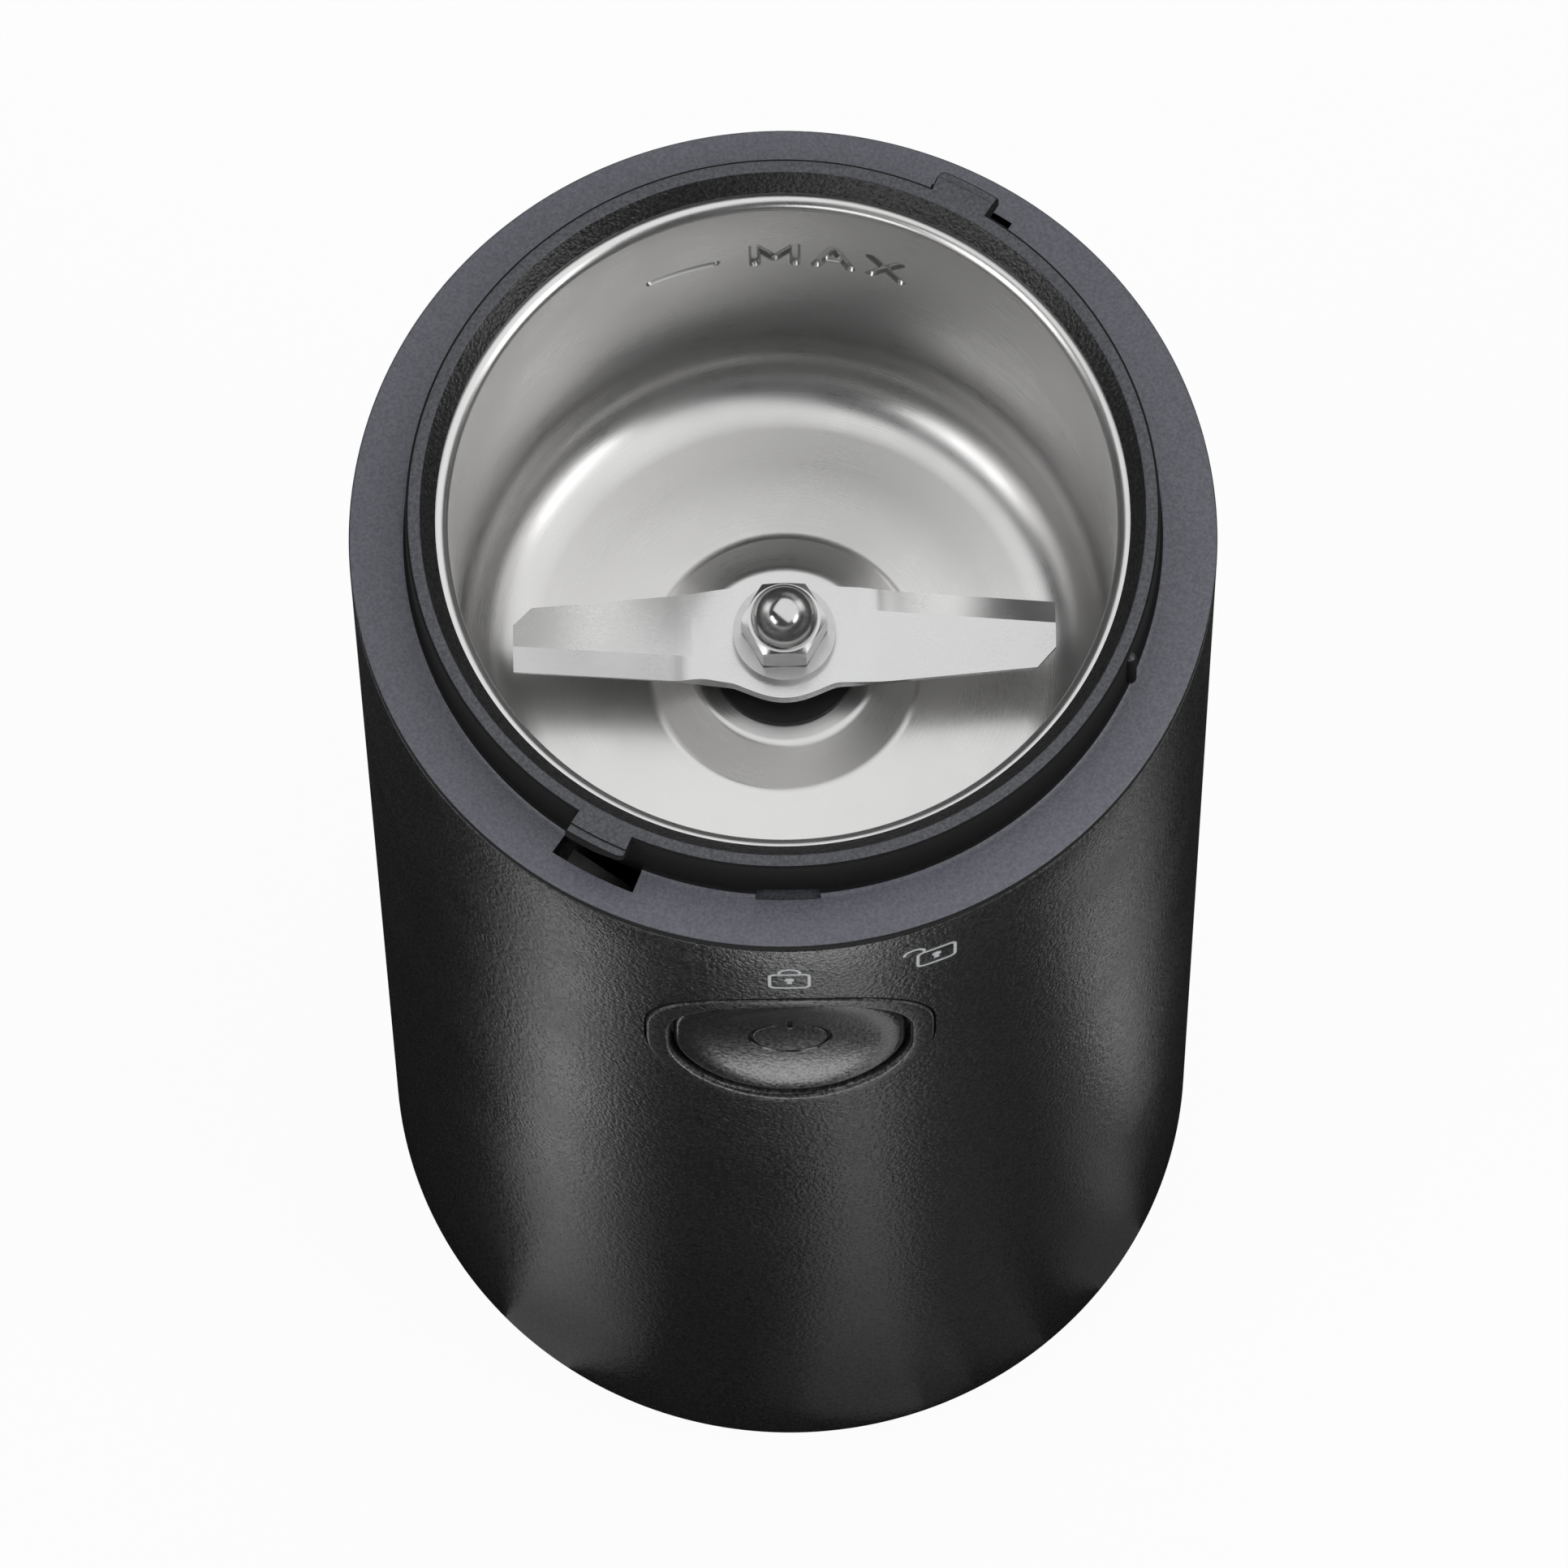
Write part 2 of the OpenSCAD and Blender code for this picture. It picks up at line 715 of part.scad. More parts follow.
// lug inside the shell under a pillar, with two gussets
module shell_lug() {
    wall_y = -(body_r(z_lug) - shell_wall / 2);
    in_y = -(pillar_r - head_d / 2 - head_room);
    block([-lug_w / 2, wall_y, z_lug], [lug_w / 2, in_y, z_carrier]);
    for (x = [-lug_w / 2, lug_w / 2 - gusset_t])
        translate([x, 0, 0])
            rotate([90, 0, 90])
                linear_extrude(gusset_t)
                    polygon([[wall_y, z_lug + eps], [wall_y, z_lug - gusset_h], [in_y, z_lug + eps]]);
}

// screw boss inside the lower end of the shell
module shell_post() {
    wall_y = -(body_r(z_plate_top) - shell_wall / 2);
    translate([0, -post_r, z_plate_top])
        cylinder(h = post_h, d = post_d);
    difference() {
        block([-web_t / 2, wall_y, z_plate_top], [web_t / 2, -post_r, z_plate_top + post_h]);
        translate([0, -post_r, z_plate_top - 1])
            cylinder(h = post_h + 2, d = post_d - 1);
    }
}

module top_ring() {
    color("#5b6067")
        difference() {
            union() {
                rotate_extrude()
                    polygon(concat(
                        [[collar_ir, z_under],
                            [bore_r(z_spigot) - seat_gap - spigot_t, z_under],
                            [bore_r(z_spigot) - seat_gap - spigot_t, z_spigot],
                            [bore_r(z_spigot) - seat_gap, z_spigot],
                            [bore_r(z_land) - seat_gap, z_land],
                            [body_r(z_land), z_land]],
                        arc(body_r(z_ring) - ring_round, z_ring - ring_round, ring_round, 0, 90),
                        [[collar_r, z_ring]],
                        arc(collar_r - collar_round, z_collar - collar_round, collar_round, 0, 90),
                        [[land_ir, z_collar],
                            [lip_r, z_lip + lip_t],
                            [lip_r, z_lip],
                            [collar_ir, z_lip]]));
                for (a = pillar_angles)
                    rotate([0, 0, a])
                        translate([0, -pillar_r, z_deck])
                            cylinder(h = z_under + ring_t / 2 - z_deck, d = pillar_d);
                for (a = [-lock_angle, 180 - lock_angle])
                    rotate([0, 0, a])
                        bayonet_lug();
                rotate([0, 0, nub_angle])
                    translate([0, -collar_r, z_ring - ring_t / 2])
                        cylinder(h = nub_h + ring_t / 2, d = nub_d);
                rotate([0, 0, nub_angle])
                    translate([0, -collar_r, z_ring + nub_h])
                        cylinder(h = nub_d / 2, d1 = nub_d, d2 = nub_d / 2);
            }
            translate([0, 0, z_under])
                cylinder(h = z_lip - z_under, r = collar_ir);
            for (a = [-lock_angle, 180 - lock_angle])
                rotate([0, 0, a])
                    sector(collar_r - slot_relief, collar_r + slot_w, slot_span,
                        z_spigot - 1, z_ring + slot_relief);
            rotate([0, 0, -lock_angle])
                block([-rod_w / 2 - slide_gap, -rod_r1 - slide_gap, z_spigot - 1],
                    [rod_w / 2 + slide_gap, -rod_r0 + slide_gap, z_under]);
            block([-step_w / 2, -collar_r - step_reach, z_ring - step_depth],
                [step_w / 2, -collar_r + step_reach, z_ring + step_depth]);
            for (a = pillar_angles)
                rotate([0, 0, a])
                    translate([0, -pillar_r, z_deck - 1])
                        cylinder(h = screw_grip + 2, r = screw_d / 2 + fit);
        }
}

// lug on the collar, with a lower outer strip and a lead-in under its right end
module bayonet_lug() {
    low = z_collar - lug_t;
    out_r = collar_r + lug_reach;
    half_w = out_r * sin(lug_span / 2);
    difference() {
        union() {
            sector(collar_r - collar_wall / 2, out_r - lug_strip, lug_span, low, z_collar);
            sector(collar_r, out_r, lug_span, low, z_collar - lug_drop);
        }
        translate([half_w, 0, low + lug_lead])
            rotate([0, -atan(lug_lead / half_w), 0])
                translate([-2 * half_w, -2 * collar_r, -2 * lug_t])
                    cube([4 * half_w, 2 * collar_r, 2 * lug_t]);
    }
}

module cup_seal() {
    color("#3a3a3a")
        tube(lip_r + seat_gap, flange_r, z_rim, z_lip);
}

module grinding_cup() {
    wall_z = z_rim - mouth_round;
    corner_z = z_floor + floor_round;
    corner_r = cup_low_r - floor_round;
    color("#c9ccd0")
        rotate_extrude()
            polygon(concat(
                [[flange_r, z_rim - cup_wall], [flange_r, z_rim]],
                arc(cup_ir + mouth_round, wall_z, mouth_round, 90, 180),
                arc(corner_r, corner_z, floor_round, 0, -90, 8),
                [[boss_d / 2 + boss_slope, z_floor],
                    [boss_d / 2, z_boss],
                    [cup_hole_r, z_boss],
                    [cup_hole_r, z_boss - cup_wall],
                    [boss_d / 2 - cup_wall / 2, z_boss - cup_wall],
                    [boss_d / 2 + boss_slope - cup_wall / 2, z_pad]],
                arc(corner_r, corner_z, floor_round + cup_wall, -90, 0, 8),
                arc(cup_ir + mouth_round, wall_z, mouth_round - cup_wall, 180, 90)));
}

module shaft_seal() {
    color("#2e2a28")
        union() {
            tube(shaft_r + run_fit, cup_hole_r - fit, z_pad, z_boss + eps);
            tube(shaft_r + run_fit, cup_hole_r + seal_flange, z_boss, z_boss + seal_flange_t);
        }
}

module motor_carrier() {
    color("#d8d4c8")
        difference() {
            union() {
                translate([0, 0, z_carrier])
                    cylinder(h = carrier_t, r = carrier_r);
                tube(pad_bore / 2, pad_bore / 2 + pad_t, z_carrier, z_pad);
                for (a = pillar_angles)
                    rotate([0, 0, a]) {
                        translate([0, -pillar_r, z_carrier])
                            cylinder(h = carrier_t, d = pillar_d);
                        block([-pillar_d / 2, -pillar_r, z_carrier],
                            [pillar_d / 2, -carrier_r + pillar_d, z_deck]);
                    }
                intersection() {
                    rotate([0, 0, -lock_angle])
                        block([-rod_spring_x - rod_spring_d, -body_d, z_carrier],
                            [rod_w / 2 + slide_gap + cheek_t, -carrier_r + pillar_d, z_deck]);
                    taper(-shell_wall - slide_gap, z_carrier - 1, z_deck + 1);
                }
                for (s = [-1, 1])
                    block([s * cheek_x - cheek_t / 2, y_switch + switch_h - cheek_w, z_switch],
                        [s * cheek_x + cheek_t / 2, y_switch + switch_h, z_deck]);
                rotate([0, 0, -lock_angle])
                    block([-switch_l / 2, -lock_back, z_lock],
                        [switch_l / 2, -lock_back + cheek_t, z_deck]);
            }
            translate([0, 0, z_carrier - 1])
                cylinder(h = pad_h + carrier_t + 2, d = carrier_bore);
            rotate([0, 0, -lock_angle])
                block([-rod_w / 2 - slide_gap, -body_d, z_carrier - 1],
                    [rod_w / 2 + slide_gap, -rod_r0 + slide_gap, z_deck + 1]);
            for (a = pillar_angles)
                rotate([0, 0, a])
                    translate([0, -pillar_r, z_carrier - 1])
                        cylinder(h = carrier_t + 2, r = screw_d / 2 + through);
            for (a = mount_angles)
                rotate([0, 0, a])
                    translate([0, -mount_pcd / 2, z_carrier - 1])
                        cylinder(h = carrier_t + 2, r = bolt_d / 2 + through);
            power_pins(pin_d / 2 + fit, cheek_t);
            lock_pins(pin_d / 2 + fit, cheek_t);
        }
}

// pins of the power switch, along X
module power_pins(r, more) {
    for (s = [-1, 1])
        translate([-switch_t / 2 - cheek_t - seat_gap - more, y_switch + switch_h * 0.7,
                z_switch + switch_l / 2 + s * pin_pitch / 2])
            rotate([0, 90, 0])
                cylinder(h = switch_t + 2 * (cheek_t + seat_gap + more), r = r);
}

// pins of the interlock switch, along its radius
module lock_pins(r, more) {
    rotate([0, 0, -lock_angle])
        for (s = [-1, 1])
            translate([s * pin_pitch / 2, 0, 0])
                bar_y(r, -lock_face - more, -lock_back + cheek_t + more, z_lock + switch_h * 0.3);
}

module switch_pins() {
    color("#b9bcc0") {
        power_pins(pin_d / 2, 0);
        lock_pins(pin_d / 2, 0);
    }
}

module housing_screws() {
    color("#9a9da2")
        for (a = pillar_angles)
            rotate([0, 0, a])
                translate([0, -pillar_r, z_lug]) {
                    cylinder(h = lug_h + carrier_t + screw_grip, d = screw_d);
                    translate([0, 0, -head_h])
                        cylinder(h = head_h, d = head_d);
                }
}

module base_plate() {
    color("#1e2023")
        difference() {
            union() {
                translate([0, 0, z_plate])
                    cylinder(h = plate_t, r1 = bore_r(z_plate) - plate_gap,
                        r2 = bore_r(z_plate_top) - plate_gap);
                intersection() {
                    block([-inlet_w / 2, 0, z_plate], [inlet_w / 2, body_d, z_plate_top]);
                    taper(-seat_gap, z_plate - 1, z_plate_top + 1);
                }
            }
            for (a = post_angles)
                rotate([0, 0, a])
                    translate([0, -post_r, z_plate - 1]) {
                        cylinder(h = plate_t + 2, r = screw_d / 2 + through);
                        cylinder(h = head_h + 1, r = head_d / 2 + through);
                    }
            for (a = mount_angles)
                rotate([0, 0, a])
                    translate([0, -foot_pcd / 2, z_plate - 1])
                        cylinder(h = plate_t + 2, r = neck_d / 2 + fit);
            for (i = [0:vents - 1])
                rotate([0, 0, 360 * i / vents])
                    translate([0, 0, z_plate - 1])
                        linear_extrude(plate_t + 2) {
                            translate([-vent_w / 2, vent_in])
                                square([vent_w, vent_out - vent_in]);
                            translate([0, vent_in])
                                circle(d = vent_w);
                            translate([0, vent_out])
                                circle(d = vent_w);
                        }
        }
}

module base_screws() {
    color("#9a9da2")
        for (a = post_angles)
            rotate([0, 0, a])
                translate([0, -post_r, z_plate]) {
                    cylinder(h = head_h, d = head_d);
                    cylinder(h = plate_t + screw_grip, d = screw_d);
                }
}

module rubber_feet() {
    color("#151515")
        for (a = mount_angles)
            rotate([0, 0, a])
                translate([0, -foot_pcd / 2, 0]) {
                    cylinder(h = z_plate, d = foot_d);
                    cylinder(h = z_plate_top + eps, d = neck_d);
                    translate([0, 0, z_plate_top])
                        cylinder(h = neck_d / 4, d1 = neck_d * 1.3, d2 = neck_d * 0.8);
                }
}

module cord_inlet() {
    low = z_plate_top;
    y0 = bore_r(z_inlet) - 6;
    y1 = body_r(z_inlet) + 6;
    z0 = z_inlet - inlet_w;
    z1 = z_inlet + inlet_w;
    color("#1a1a1a")
        difference() {
            intersection() {
                union() {
                    inlet_shape(inlet_w, low, y0, y1);
                    difference() {
                        inlet_shape(inlet_w + 2 * inlet_rim, low, y0, y1);
                        difference() {
                            taper(2 * seat_gap, z0, z1);
                            taper(-shell_wall - 2 * seat_gap, z0 - 1, z1 + 1);
                        }
                    }
                }
                difference() {
                    taper(inlet_t + 2 * seat_gap, low, z1);
                    taper(-shell_wall - inlet_t - 2 * seat_gap, z0 - 1, z1 + 1);
                }
            }
            bar_y(inlet_bore / 2, y0 - 5, y1 + 5, z_inlet);
        }
}

module button_bezel() {
    z0 = z_button - bezel_half - 5;
    z1 = z_button + bezel_half + 5;
    color("#2b2d31")
        difference() {
            union() {
                intersection() {
                    pill_y(bezel_r, -face_r - 5, y_back);
                    difference() {
                        face(bezel_face_r);
                        taper(seat_gap - bezel_seat, z0 - 1, z1 + 1);
                    }
                }
                intersection() {
                    pill_y(sleeve_r, -face_r - 5, y_wall + back_t);
                    taper(-bezel_seat / 2, z0, z1);
                }
                intersection() {
                    pill_y(sleeve_r + hook_reach, -face_r, y_wall);
                    taper(-shell_wall - seat_gap, z0, z1);
                    for (a = [-45, 45])
                        translate([0, y_wall, z_button])
                            rotate([0, a, 0])
                                cube([hook_w, 2 * face_r, 4 * bezel_r], center = true);
                }
            }
            pill_y(bezel_ir, -face_r - 5, y_back);
            pill_y(sleeve_ir, y_back - stop_t - slide_gap, y_wall + back_t + 1);
            block([-arm_w / 2 - slide_gap, y_back - arm_t - slide_gap, z0],
                [arm_w / 2 + slide_gap, y_wall + back_t + 1, z_button]);
        }
}

module button_back() {
    color("#2b2d31")
        pill_y(back_r, y_wall, y_wall + back_t);
}

module power_button() {
    color("#34373c")
        difference() {
            union() {
                intersection() {
                    pill_y(button_r, -face_r - 5, y_back);
                    face(button_face_r);
                }
                pill_y(stop_r, y_back - stop_t, y_back);
                block([-arm_w / 2, y_back - arm_t, z_plunger - plunger_w], [arm_w / 2, y_back, z_button]);
            }
            translate([-button_d, y_face + dish_depth - dish_r, z_button])
                rotate([0, 90, 0])
                    cylinder(h = 2 * button_d, r = dish_r, $fn = 256);
            bar_y(spring_d / 2 + spring_wire, y_pocket, y_back + 1, z_button);
        }
}

module button_spring() {
    color("#c2c5c9")
        translate([0, y_pocket, z_button])
            rotate([-90, 0, 0])
                coil(spring_d, spring_wire, y_wall - y_pocket, 3);
}

module power_switch() {
    color("#8c2f27")
        difference() {
            block([-switch_t / 2, y_switch, z_switch],
                [switch_t / 2, y_switch + switch_h, z_switch + switch_l]);
            block([-plunger_t / 2 - seat_gap, y_switch - 1, z_plunger - plunger_w / 2 - seat_gap],
                [plunger_t / 2 + seat_gap, y_switch + plunger_hold + button_travel + slide_gap,
                    z_plunger + plunger_w / 2 + seat_gap]);
            power_pins(pin_d / 2 + fit, 1);
        }
}

module power_switch_plunger() {
    color("#e8e4da")
        block([-plunger_t / 2, y_back + seat_gap, z_plunger - plunger_w / 2],
            [plunger_t / 2, y_switch + plunger_hold, z_plunger + plunger_w / 2]);
}

module interlock_rod() {
    color("#4a4038")
        rotate([0, 0, -lock_angle])
            difference() {
                union() {
                    block([-rod_w / 2, -rod_r1, z_foot], [rod_w / 2, -rod_r0, z_rod]);
                    block([-rod_w / 2, -rod_r1, z_foot],
                        [rod_w / 2, -lock_mid + plunger_t, z_foot + foot_t]);
                    block([-rod_spring_x - rod_spring_d / 2, -spring_r - rod_spring_d / 2, z_tab],
                        [0, -spring_r + rod_spring_d / 2, z_tab + tab_t]);
                }
                translate([-rod_w / 2, 0, z_rod])
                    rotate([0, atan(ramp_h / rod_w), 0])
                        translate([-rod_w, -body_d, 0])
                            cube([3 * rod_w, body_d, 2 * ramp_h]);
            }
}

module interlock_spring() {
    color("#c2c5c9")
        rotate([0, 0, -lock_angle])
            translate([-rod_spring_x, -spring_r, z_deck])
                coil(rod_spring_d, spring_wire, rod_spring_l, 6);
}

module interlock_switch() {
    color("#8c2f27")
        difference() {
            rotate([0, 0, -lock_angle])
                difference() {
                    block([-switch_l / 2, -lock_face, z_lock],
                        [switch_l / 2, -lock_face + switch_t, z_lock + switch_h]);
                    block([-plunger_w / 2 - seat_gap, -lock_mid - plunger_t / 2 - seat_gap,
                            z_lock + switch_h - plunger_hold - rod_travel - slide_gap],
                        [plunger_w / 2 + seat_gap, -lock_mid + plunger_t / 2 + seat_gap,
                            z_lock + switch_h + 1]);
                }
            lock_pins(pin_d / 2 + fit, 1);
        }
}

module interlock_switch_plunger() {
    color("#e8e4da")
        rotate([0, 0, -lock_angle])
            block([-plunger_w / 2, -lock_mid - plunger_t / 2, z_lock + switch_h - plunger_hold],
                [plunger_w / 2, -lock_mid + plunger_t / 2, z_foot - seat_gap]);
}

module switch_terminals() {
    color("#c9b26a") {
        for (y = tag_y)
            block([-tag_w / 2, y - tag_t / 2, z_switch - tag_l], [tag_w / 2, y + tag_t / 2, z_switch]);
        rotate([0, 0, -lock_angle])
            for (s = [-1, 1])
                block([s * tag_x - tag_t / 2, -lock_mid - tag_w / 2, z_lock - tag_l],
                    [s * tag_x + tag_t / 2, -lock_mid + tag_w / 2, z_lock]);
    }
}

module lead_wires() {
    up = [0, 0, lead_end];
    lock = spot(lock_mid, -lock_angle) + tag_x * [cos(lock_angle), -sin(lock_angle)];
    from = [lock[0], lock[1], z_lock - tag_l];
    to = [0, tag_y[0], z_switch - tag_l];
    low = [lock[0] / 2, (lock[1] + tag_y[0]) / 2, z_switch - tag_l - lead_slack];
    out = [0, tag_y[1], z_switch - tag_l];
    x = holder_w / 2 + lead_off;
    turn = [x, -sqrt(coil_mid * coil_mid - x * x), z_turn];
    bend = [x * 0.7, -coil_r - lead_off, z_turn - lead_end / 2];
    color("#2f4a8a") {
        lead([from, from - up, low, to - up, to], [0, 1, 0]);
        lead([out, out - up, bend, turn - up, turn], [1, 0, 0]);
        for (y = [-coil_mid, coil_mid])
            lead([[0, y, z_comm_mid + holder_w / 2], [0, y, z_turn]], [1, 0, 0]);
    }
}

module rubber_mounts() {
    color("#202020")
        for (a = mount_angles)
            rotate([0, 0, a])
                translate([0, -mount_pcd / 2, 0])
                    tube(bolt_d / 2 + through, mount_d / 2, z_carrier - mount_h, z_carrier);
}

module motor_screws() {
    color("#9a9da2")
        for (a = mount_angles)
            rotate([0, 0, a])
                translate([0, -mount_pcd / 2, z_upper]) {
                    cylinder(h = z_deck - z_upper, d = bolt_d);
                    translate([0, 0, z_deck - z_upper])
                        cylinder(h = bolt_d * 0.6, d = bolt_d * 1.6);
                }
}

module upper_bracket() {
    color("#a8abb0")
        difference() {
            union() {
                translate([0, 0, z_upper])
                    linear_extrude(upper_t) {
                        intersection() {
                            square(2 * bracket_half, center = true);
                            circle(mount_pcd / 2 + mount_d / 2);
                        }
                        square([2 * bolt_x, leg_d], center = true);
                        for (s = [-1, 1])
                            translate([s * bolt_x, 0])
                                circle(d = leg_d);
                    }
                translate([0, 0, z_upper])
                    cylinder(h = upper_t + bearing_h, d = hub_d);
                for (s = [-1, 1])
                    translate([s * bolt_x, 0, z_stack_top])
                        cylinder(h = upper_room + upper_t, d = leg_d);
            }
            translate([0, 0, z_upper + upper_t])
                cylinder(h = bearing_h + 1, r = bearing_d / 2 + fit);
            translate([0, 0, z_upper - 1])
                cylinder(h = upper_t + 2, r = shaft_r + slide_gap);
            for (s = [-1, 1])
                translate([s * bolt_x, 0, z_stack_top - 1])
                    cylinder(h = upper_room + upper_t + 2, r = bolt_d / 2 + fit);
            for (a = mount_angles)
                rotate([0, 0, a])
                    translate([0, -mount_pcd / 2, z_upper - 1])
                        cylinder(h = upper_t + 2, r = bolt_d / 2 + fit);
        }
}

module upper_bearing() {
    color("#b08d57")
        tube(shaft_r + run_fit, bearing_d / 2, z_upper + upper_t, z_upper + upper_t + bearing_h);
}

module stator_core() {
    color("#7d8288")
        translate([0, 0, z_stack])
            linear_extrude(stack_h)
                difference() {
                    intersection() {
                        circle(d = stator_d);
                        square([stator_d + 1, stator_flat], center = true);
                    }
                    circle(stator_bore);
                    coil_slots(0);
                    square([2 * slot_out, 2 * pole_gap], center = true);
                    for (s = [-1, 1])
                        translate([s * bolt_x, 0])
                            circle(bolt_d / 2 + seat_gap);
                }
}

// section of the coil slots beside the poles
module coil_slots(in) {
    difference() {
        for (s = [-1, 1])
            translate([s * (pole_w + slot_out) / 2, 0])
                square([slot_out - pole_w - 2 * in, 2 * (slot_half - in)], center = true);
        circle(shoe_r + in);
    }
}

module field_coils() {
    color("#a4562c")
        for (s = [0, 180])
            rotate([0, 0, s]) {
                translate([0, 0, z_turn])
                    linear_extrude(stack_h + 2 * (turn_h + coil_gap))
                        intersection() {
                            coil_slots(coil_gap);
                            translate([-stator_d, pole_gap + 2 * coil_gap])
                                square(2 * stator_d);
                        }
                for (z = [z_turn, z_stack_top + coil_gap])
                    translate([0, 0, z])
                        linear_extrude(turn_h)
                            difference() {
                                circle(coil_r);
                                circle(shoe_r + coil_gap);
                                translate([-stator_d, pole_gap + 2 * coil_gap - 2 * stator_d])
                                    square(2 * stator_d);
                            }
            }
}

module stator_bolts() {
    color("#9a9da2")
        for (s = [-1, 1])
            translate([s * bolt_x, 0, z_lower]) {
                cylinder(h = z_upper + upper_t - z_lower, d = bolt_d);
                translate([0, 0, -bolt_d * 0.6])
                    cylinder(h = bolt_d * 0.6, d = bolt_d * 1.6);
            }
}

module lower_bracket() {
    color("#3c3f44")
        difference() {
            union() {
                translate([0, 0, z_lower])
                    linear_extrude(lower_t) {
                        square([2 * bolt_x, leg_d], center = true);
                        for (s = [-1, 1])
                            translate([s * bolt_x, 0])
                                circle(d = leg_d);
                        square([holder_w + 2, 2 * (holder_y + holder_l)], center = true);
                        circle(hub_d / 2 + 4);
                    }
                translate([0, 0, z_hub])
                    cylinder(h = z_lower_top - z_hub, d = hub_d);
                for (s = [-1, 1])
                    translate([s * bolt_x, 0, z_lower])
                        cylinder(h = z_stack - z_lower, d = leg_d);
                for (s = [0, 180])
                    rotate([0, 0, s])
                        block([-holder_w / 2 - 1, holder_y + 2, z_lower],
                            [holder_w / 2 + 1, holder_y + holder_l, z_comm_mid - holder_w / 2]);
            }
            translate([0, 0, z_hub + hub_floor])
                cylinder(h = bearing_h + 1, r = bearing_d / 2 + fit);
            for (s = [-1, 1])
                translate([s * bolt_x, 0, z_lower - 1])
                    cylinder(h = z_stack - z_lower + 2, r = bolt_d / 2 + seat_gap);
        }
}

module lower_bearing() {
    color("#b08d57")
        tube(shaft_r + run_fit, bearing_d / 2, z_hub + hub_floor, z_lower_top);
}

module thrust_washer() {
    color("#e8e4da")
        tube(shaft_r + fit, shaft_r + thrust_w, z_lower_top + run_fit, z_lower_top + run_fit + thrust_t);
}

module brush_holders() {
    color("#b9974f")
        for (s = [0, 180])
            rotate([0, 0, s])
                difference() {
                    block([-holder_w / 2, holder_y, z_comm_mid - holder_w / 2],
                        [holder_w / 2, holder_y + holder_l, z_comm_mid + holder_w / 2]);
                    block([-brush_s / 2 - seat_gap, holder_y - 1, z_comm_mid - brush_s / 2 - seat_gap],
                        [brush_s / 2 + seat_gap, holder_y + holder_l - holder_t,
                            z_comm_mid + brush_s / 2 + seat_gap]);
                }
}

module carbon_brushes() {
    y0 = comm_d / 2;
    color("#303030")
        for (s = [0, 180])
            rotate([0, 0, s])
                difference() {
                    block([-brush_s / 2, y0 - 2, z_comm_mid - brush_s / 2],
                        [brush_s / 2, y0 + brush_l, z_comm_mid + brush_s / 2]);
                    translate([0, 0, z_comm - 1])
                        cylinder(h = comm_h + 2, r = y0 + slide_gap);
                }
}

module brush_springs() {
    color("#c2c5c9")
        for (s = [0, 180])
            rotate([0, 0, s])
                translate([0, comm_d / 2 + brush_l, z_comm_mid])
                    rotate([-90, 0, 0])
                        coil(brush_spring_d, spring_wire,
                            holder_y + holder_l - holder_t - comm_d / 2 - brush_l, 4);
}

module motor_shaft() {
    color("#b4b7bb") {
        translate([0, 0, z_hub + hub_floor + run_fit])
            cylinder(h = z_spacer - z_hub - hub_floor - run_fit, d = shaft_d);
        translate([0, 0, z_spacer - eps])
            cylinder(h = z_nut + nut_h + eps - z_spacer, d = stud_d);
    }
}

module armature_core() {
    color("#6c7177")
        translate([0, 0, z_stack])
            linear_extrude(stack_h)
                difference() {
                    circle(d = armature_d);
                    circle(shaft_r + fit);
                    for (i = [0:slots - 1])
                        rotate([0, 0, 360 * i / slots]) {
                            translate([armature_slot_r, 0])
                                circle(slot_r);
                            translate([armature_slot_r, -slot_mouth / 2])
                                square([armature_d, slot_mouth]);
                        }
                }
}

module armature_winding() {
    color("#b5622f") {
        for (i = [0:slots - 1])
            rotate([0, 0, 360 * i / slots])
                translate([armature_slot_r, 0, z_stack - coil_gap - eps])
                    cylinder(h = stack_h + 2 * (coil_gap + eps), r = slot_r - coil_gap);
        for (z = [z_turn, z_stack_top + coil_gap])
            translate([0, 0, z])
                rotate_extrude()
                    polygon([[shaft_r + 2, 0], [armature_slot_r, 0],
                        [armature_slot_r + slot_r, turn_h * 0.2],
                        [armature_slot_r + slot_r, turn_h * 0.8],
                        [armature_slot_r, turn_h], [shaft_r + 2, turn_h]]);
    }
}

module commutator_hub() {
    color("#5a3a22")
        tube(shaft_r + fit, comm_d / 2 - bar_t - fit, z_comm, z_comm + comm_h);
}

module commutator_bars() {
    color("#b87333")
        translate([0, 0, z_comm])
            linear_extrude(comm_h)
                difference() {
                    circle(d = comm_d);
                    circle(comm_d / 2 - bar_t);
                    for (i = [0:bars / 2 - 1])
                        rotate(180 * i / (bars / 2))
                            square([2 * comm_d, bar_gap], center = true);
                }
}

module blade_spacer() {
    color("#c9ccd0")
        tube(stud_d / 2 + fit, spacer_d / 2, z_spacer, z_blade);
}

// one wing of the blade along +X, ground on its leading side
module blade_wing() {
    root = washer_d / 2 - 1;
    tip = blade_span / 2;
    rotate([blade_pitch, 0, 0])
        difference() {
            translate([0, 0, -blade_t / 2])
                linear_extrude(blade_t)
                    polygon([[0, -blade_w / 2], [root, -blade_w / 2], [tip - 2, -blade_tip_w / 2],
                        [tip, -blade_tip_w / 2 + 2], [tip, blade_tip_w / 2], [root, blade_w / 2],
                        [0, blade_w / 2]]);
            translate([root, blade_w / 2 - blade_edge_w, blade_t / 2])
                rotate([0, 0, -atan((blade_w - blade_tip_w) / 2 / (tip - root))])
                    rotate([-atan(blade_t * 0.85 / blade_edge_w), 0, 0])
                        cube([2 * tip, 2 * blade_w, 2 * blade_t]);
        }
}

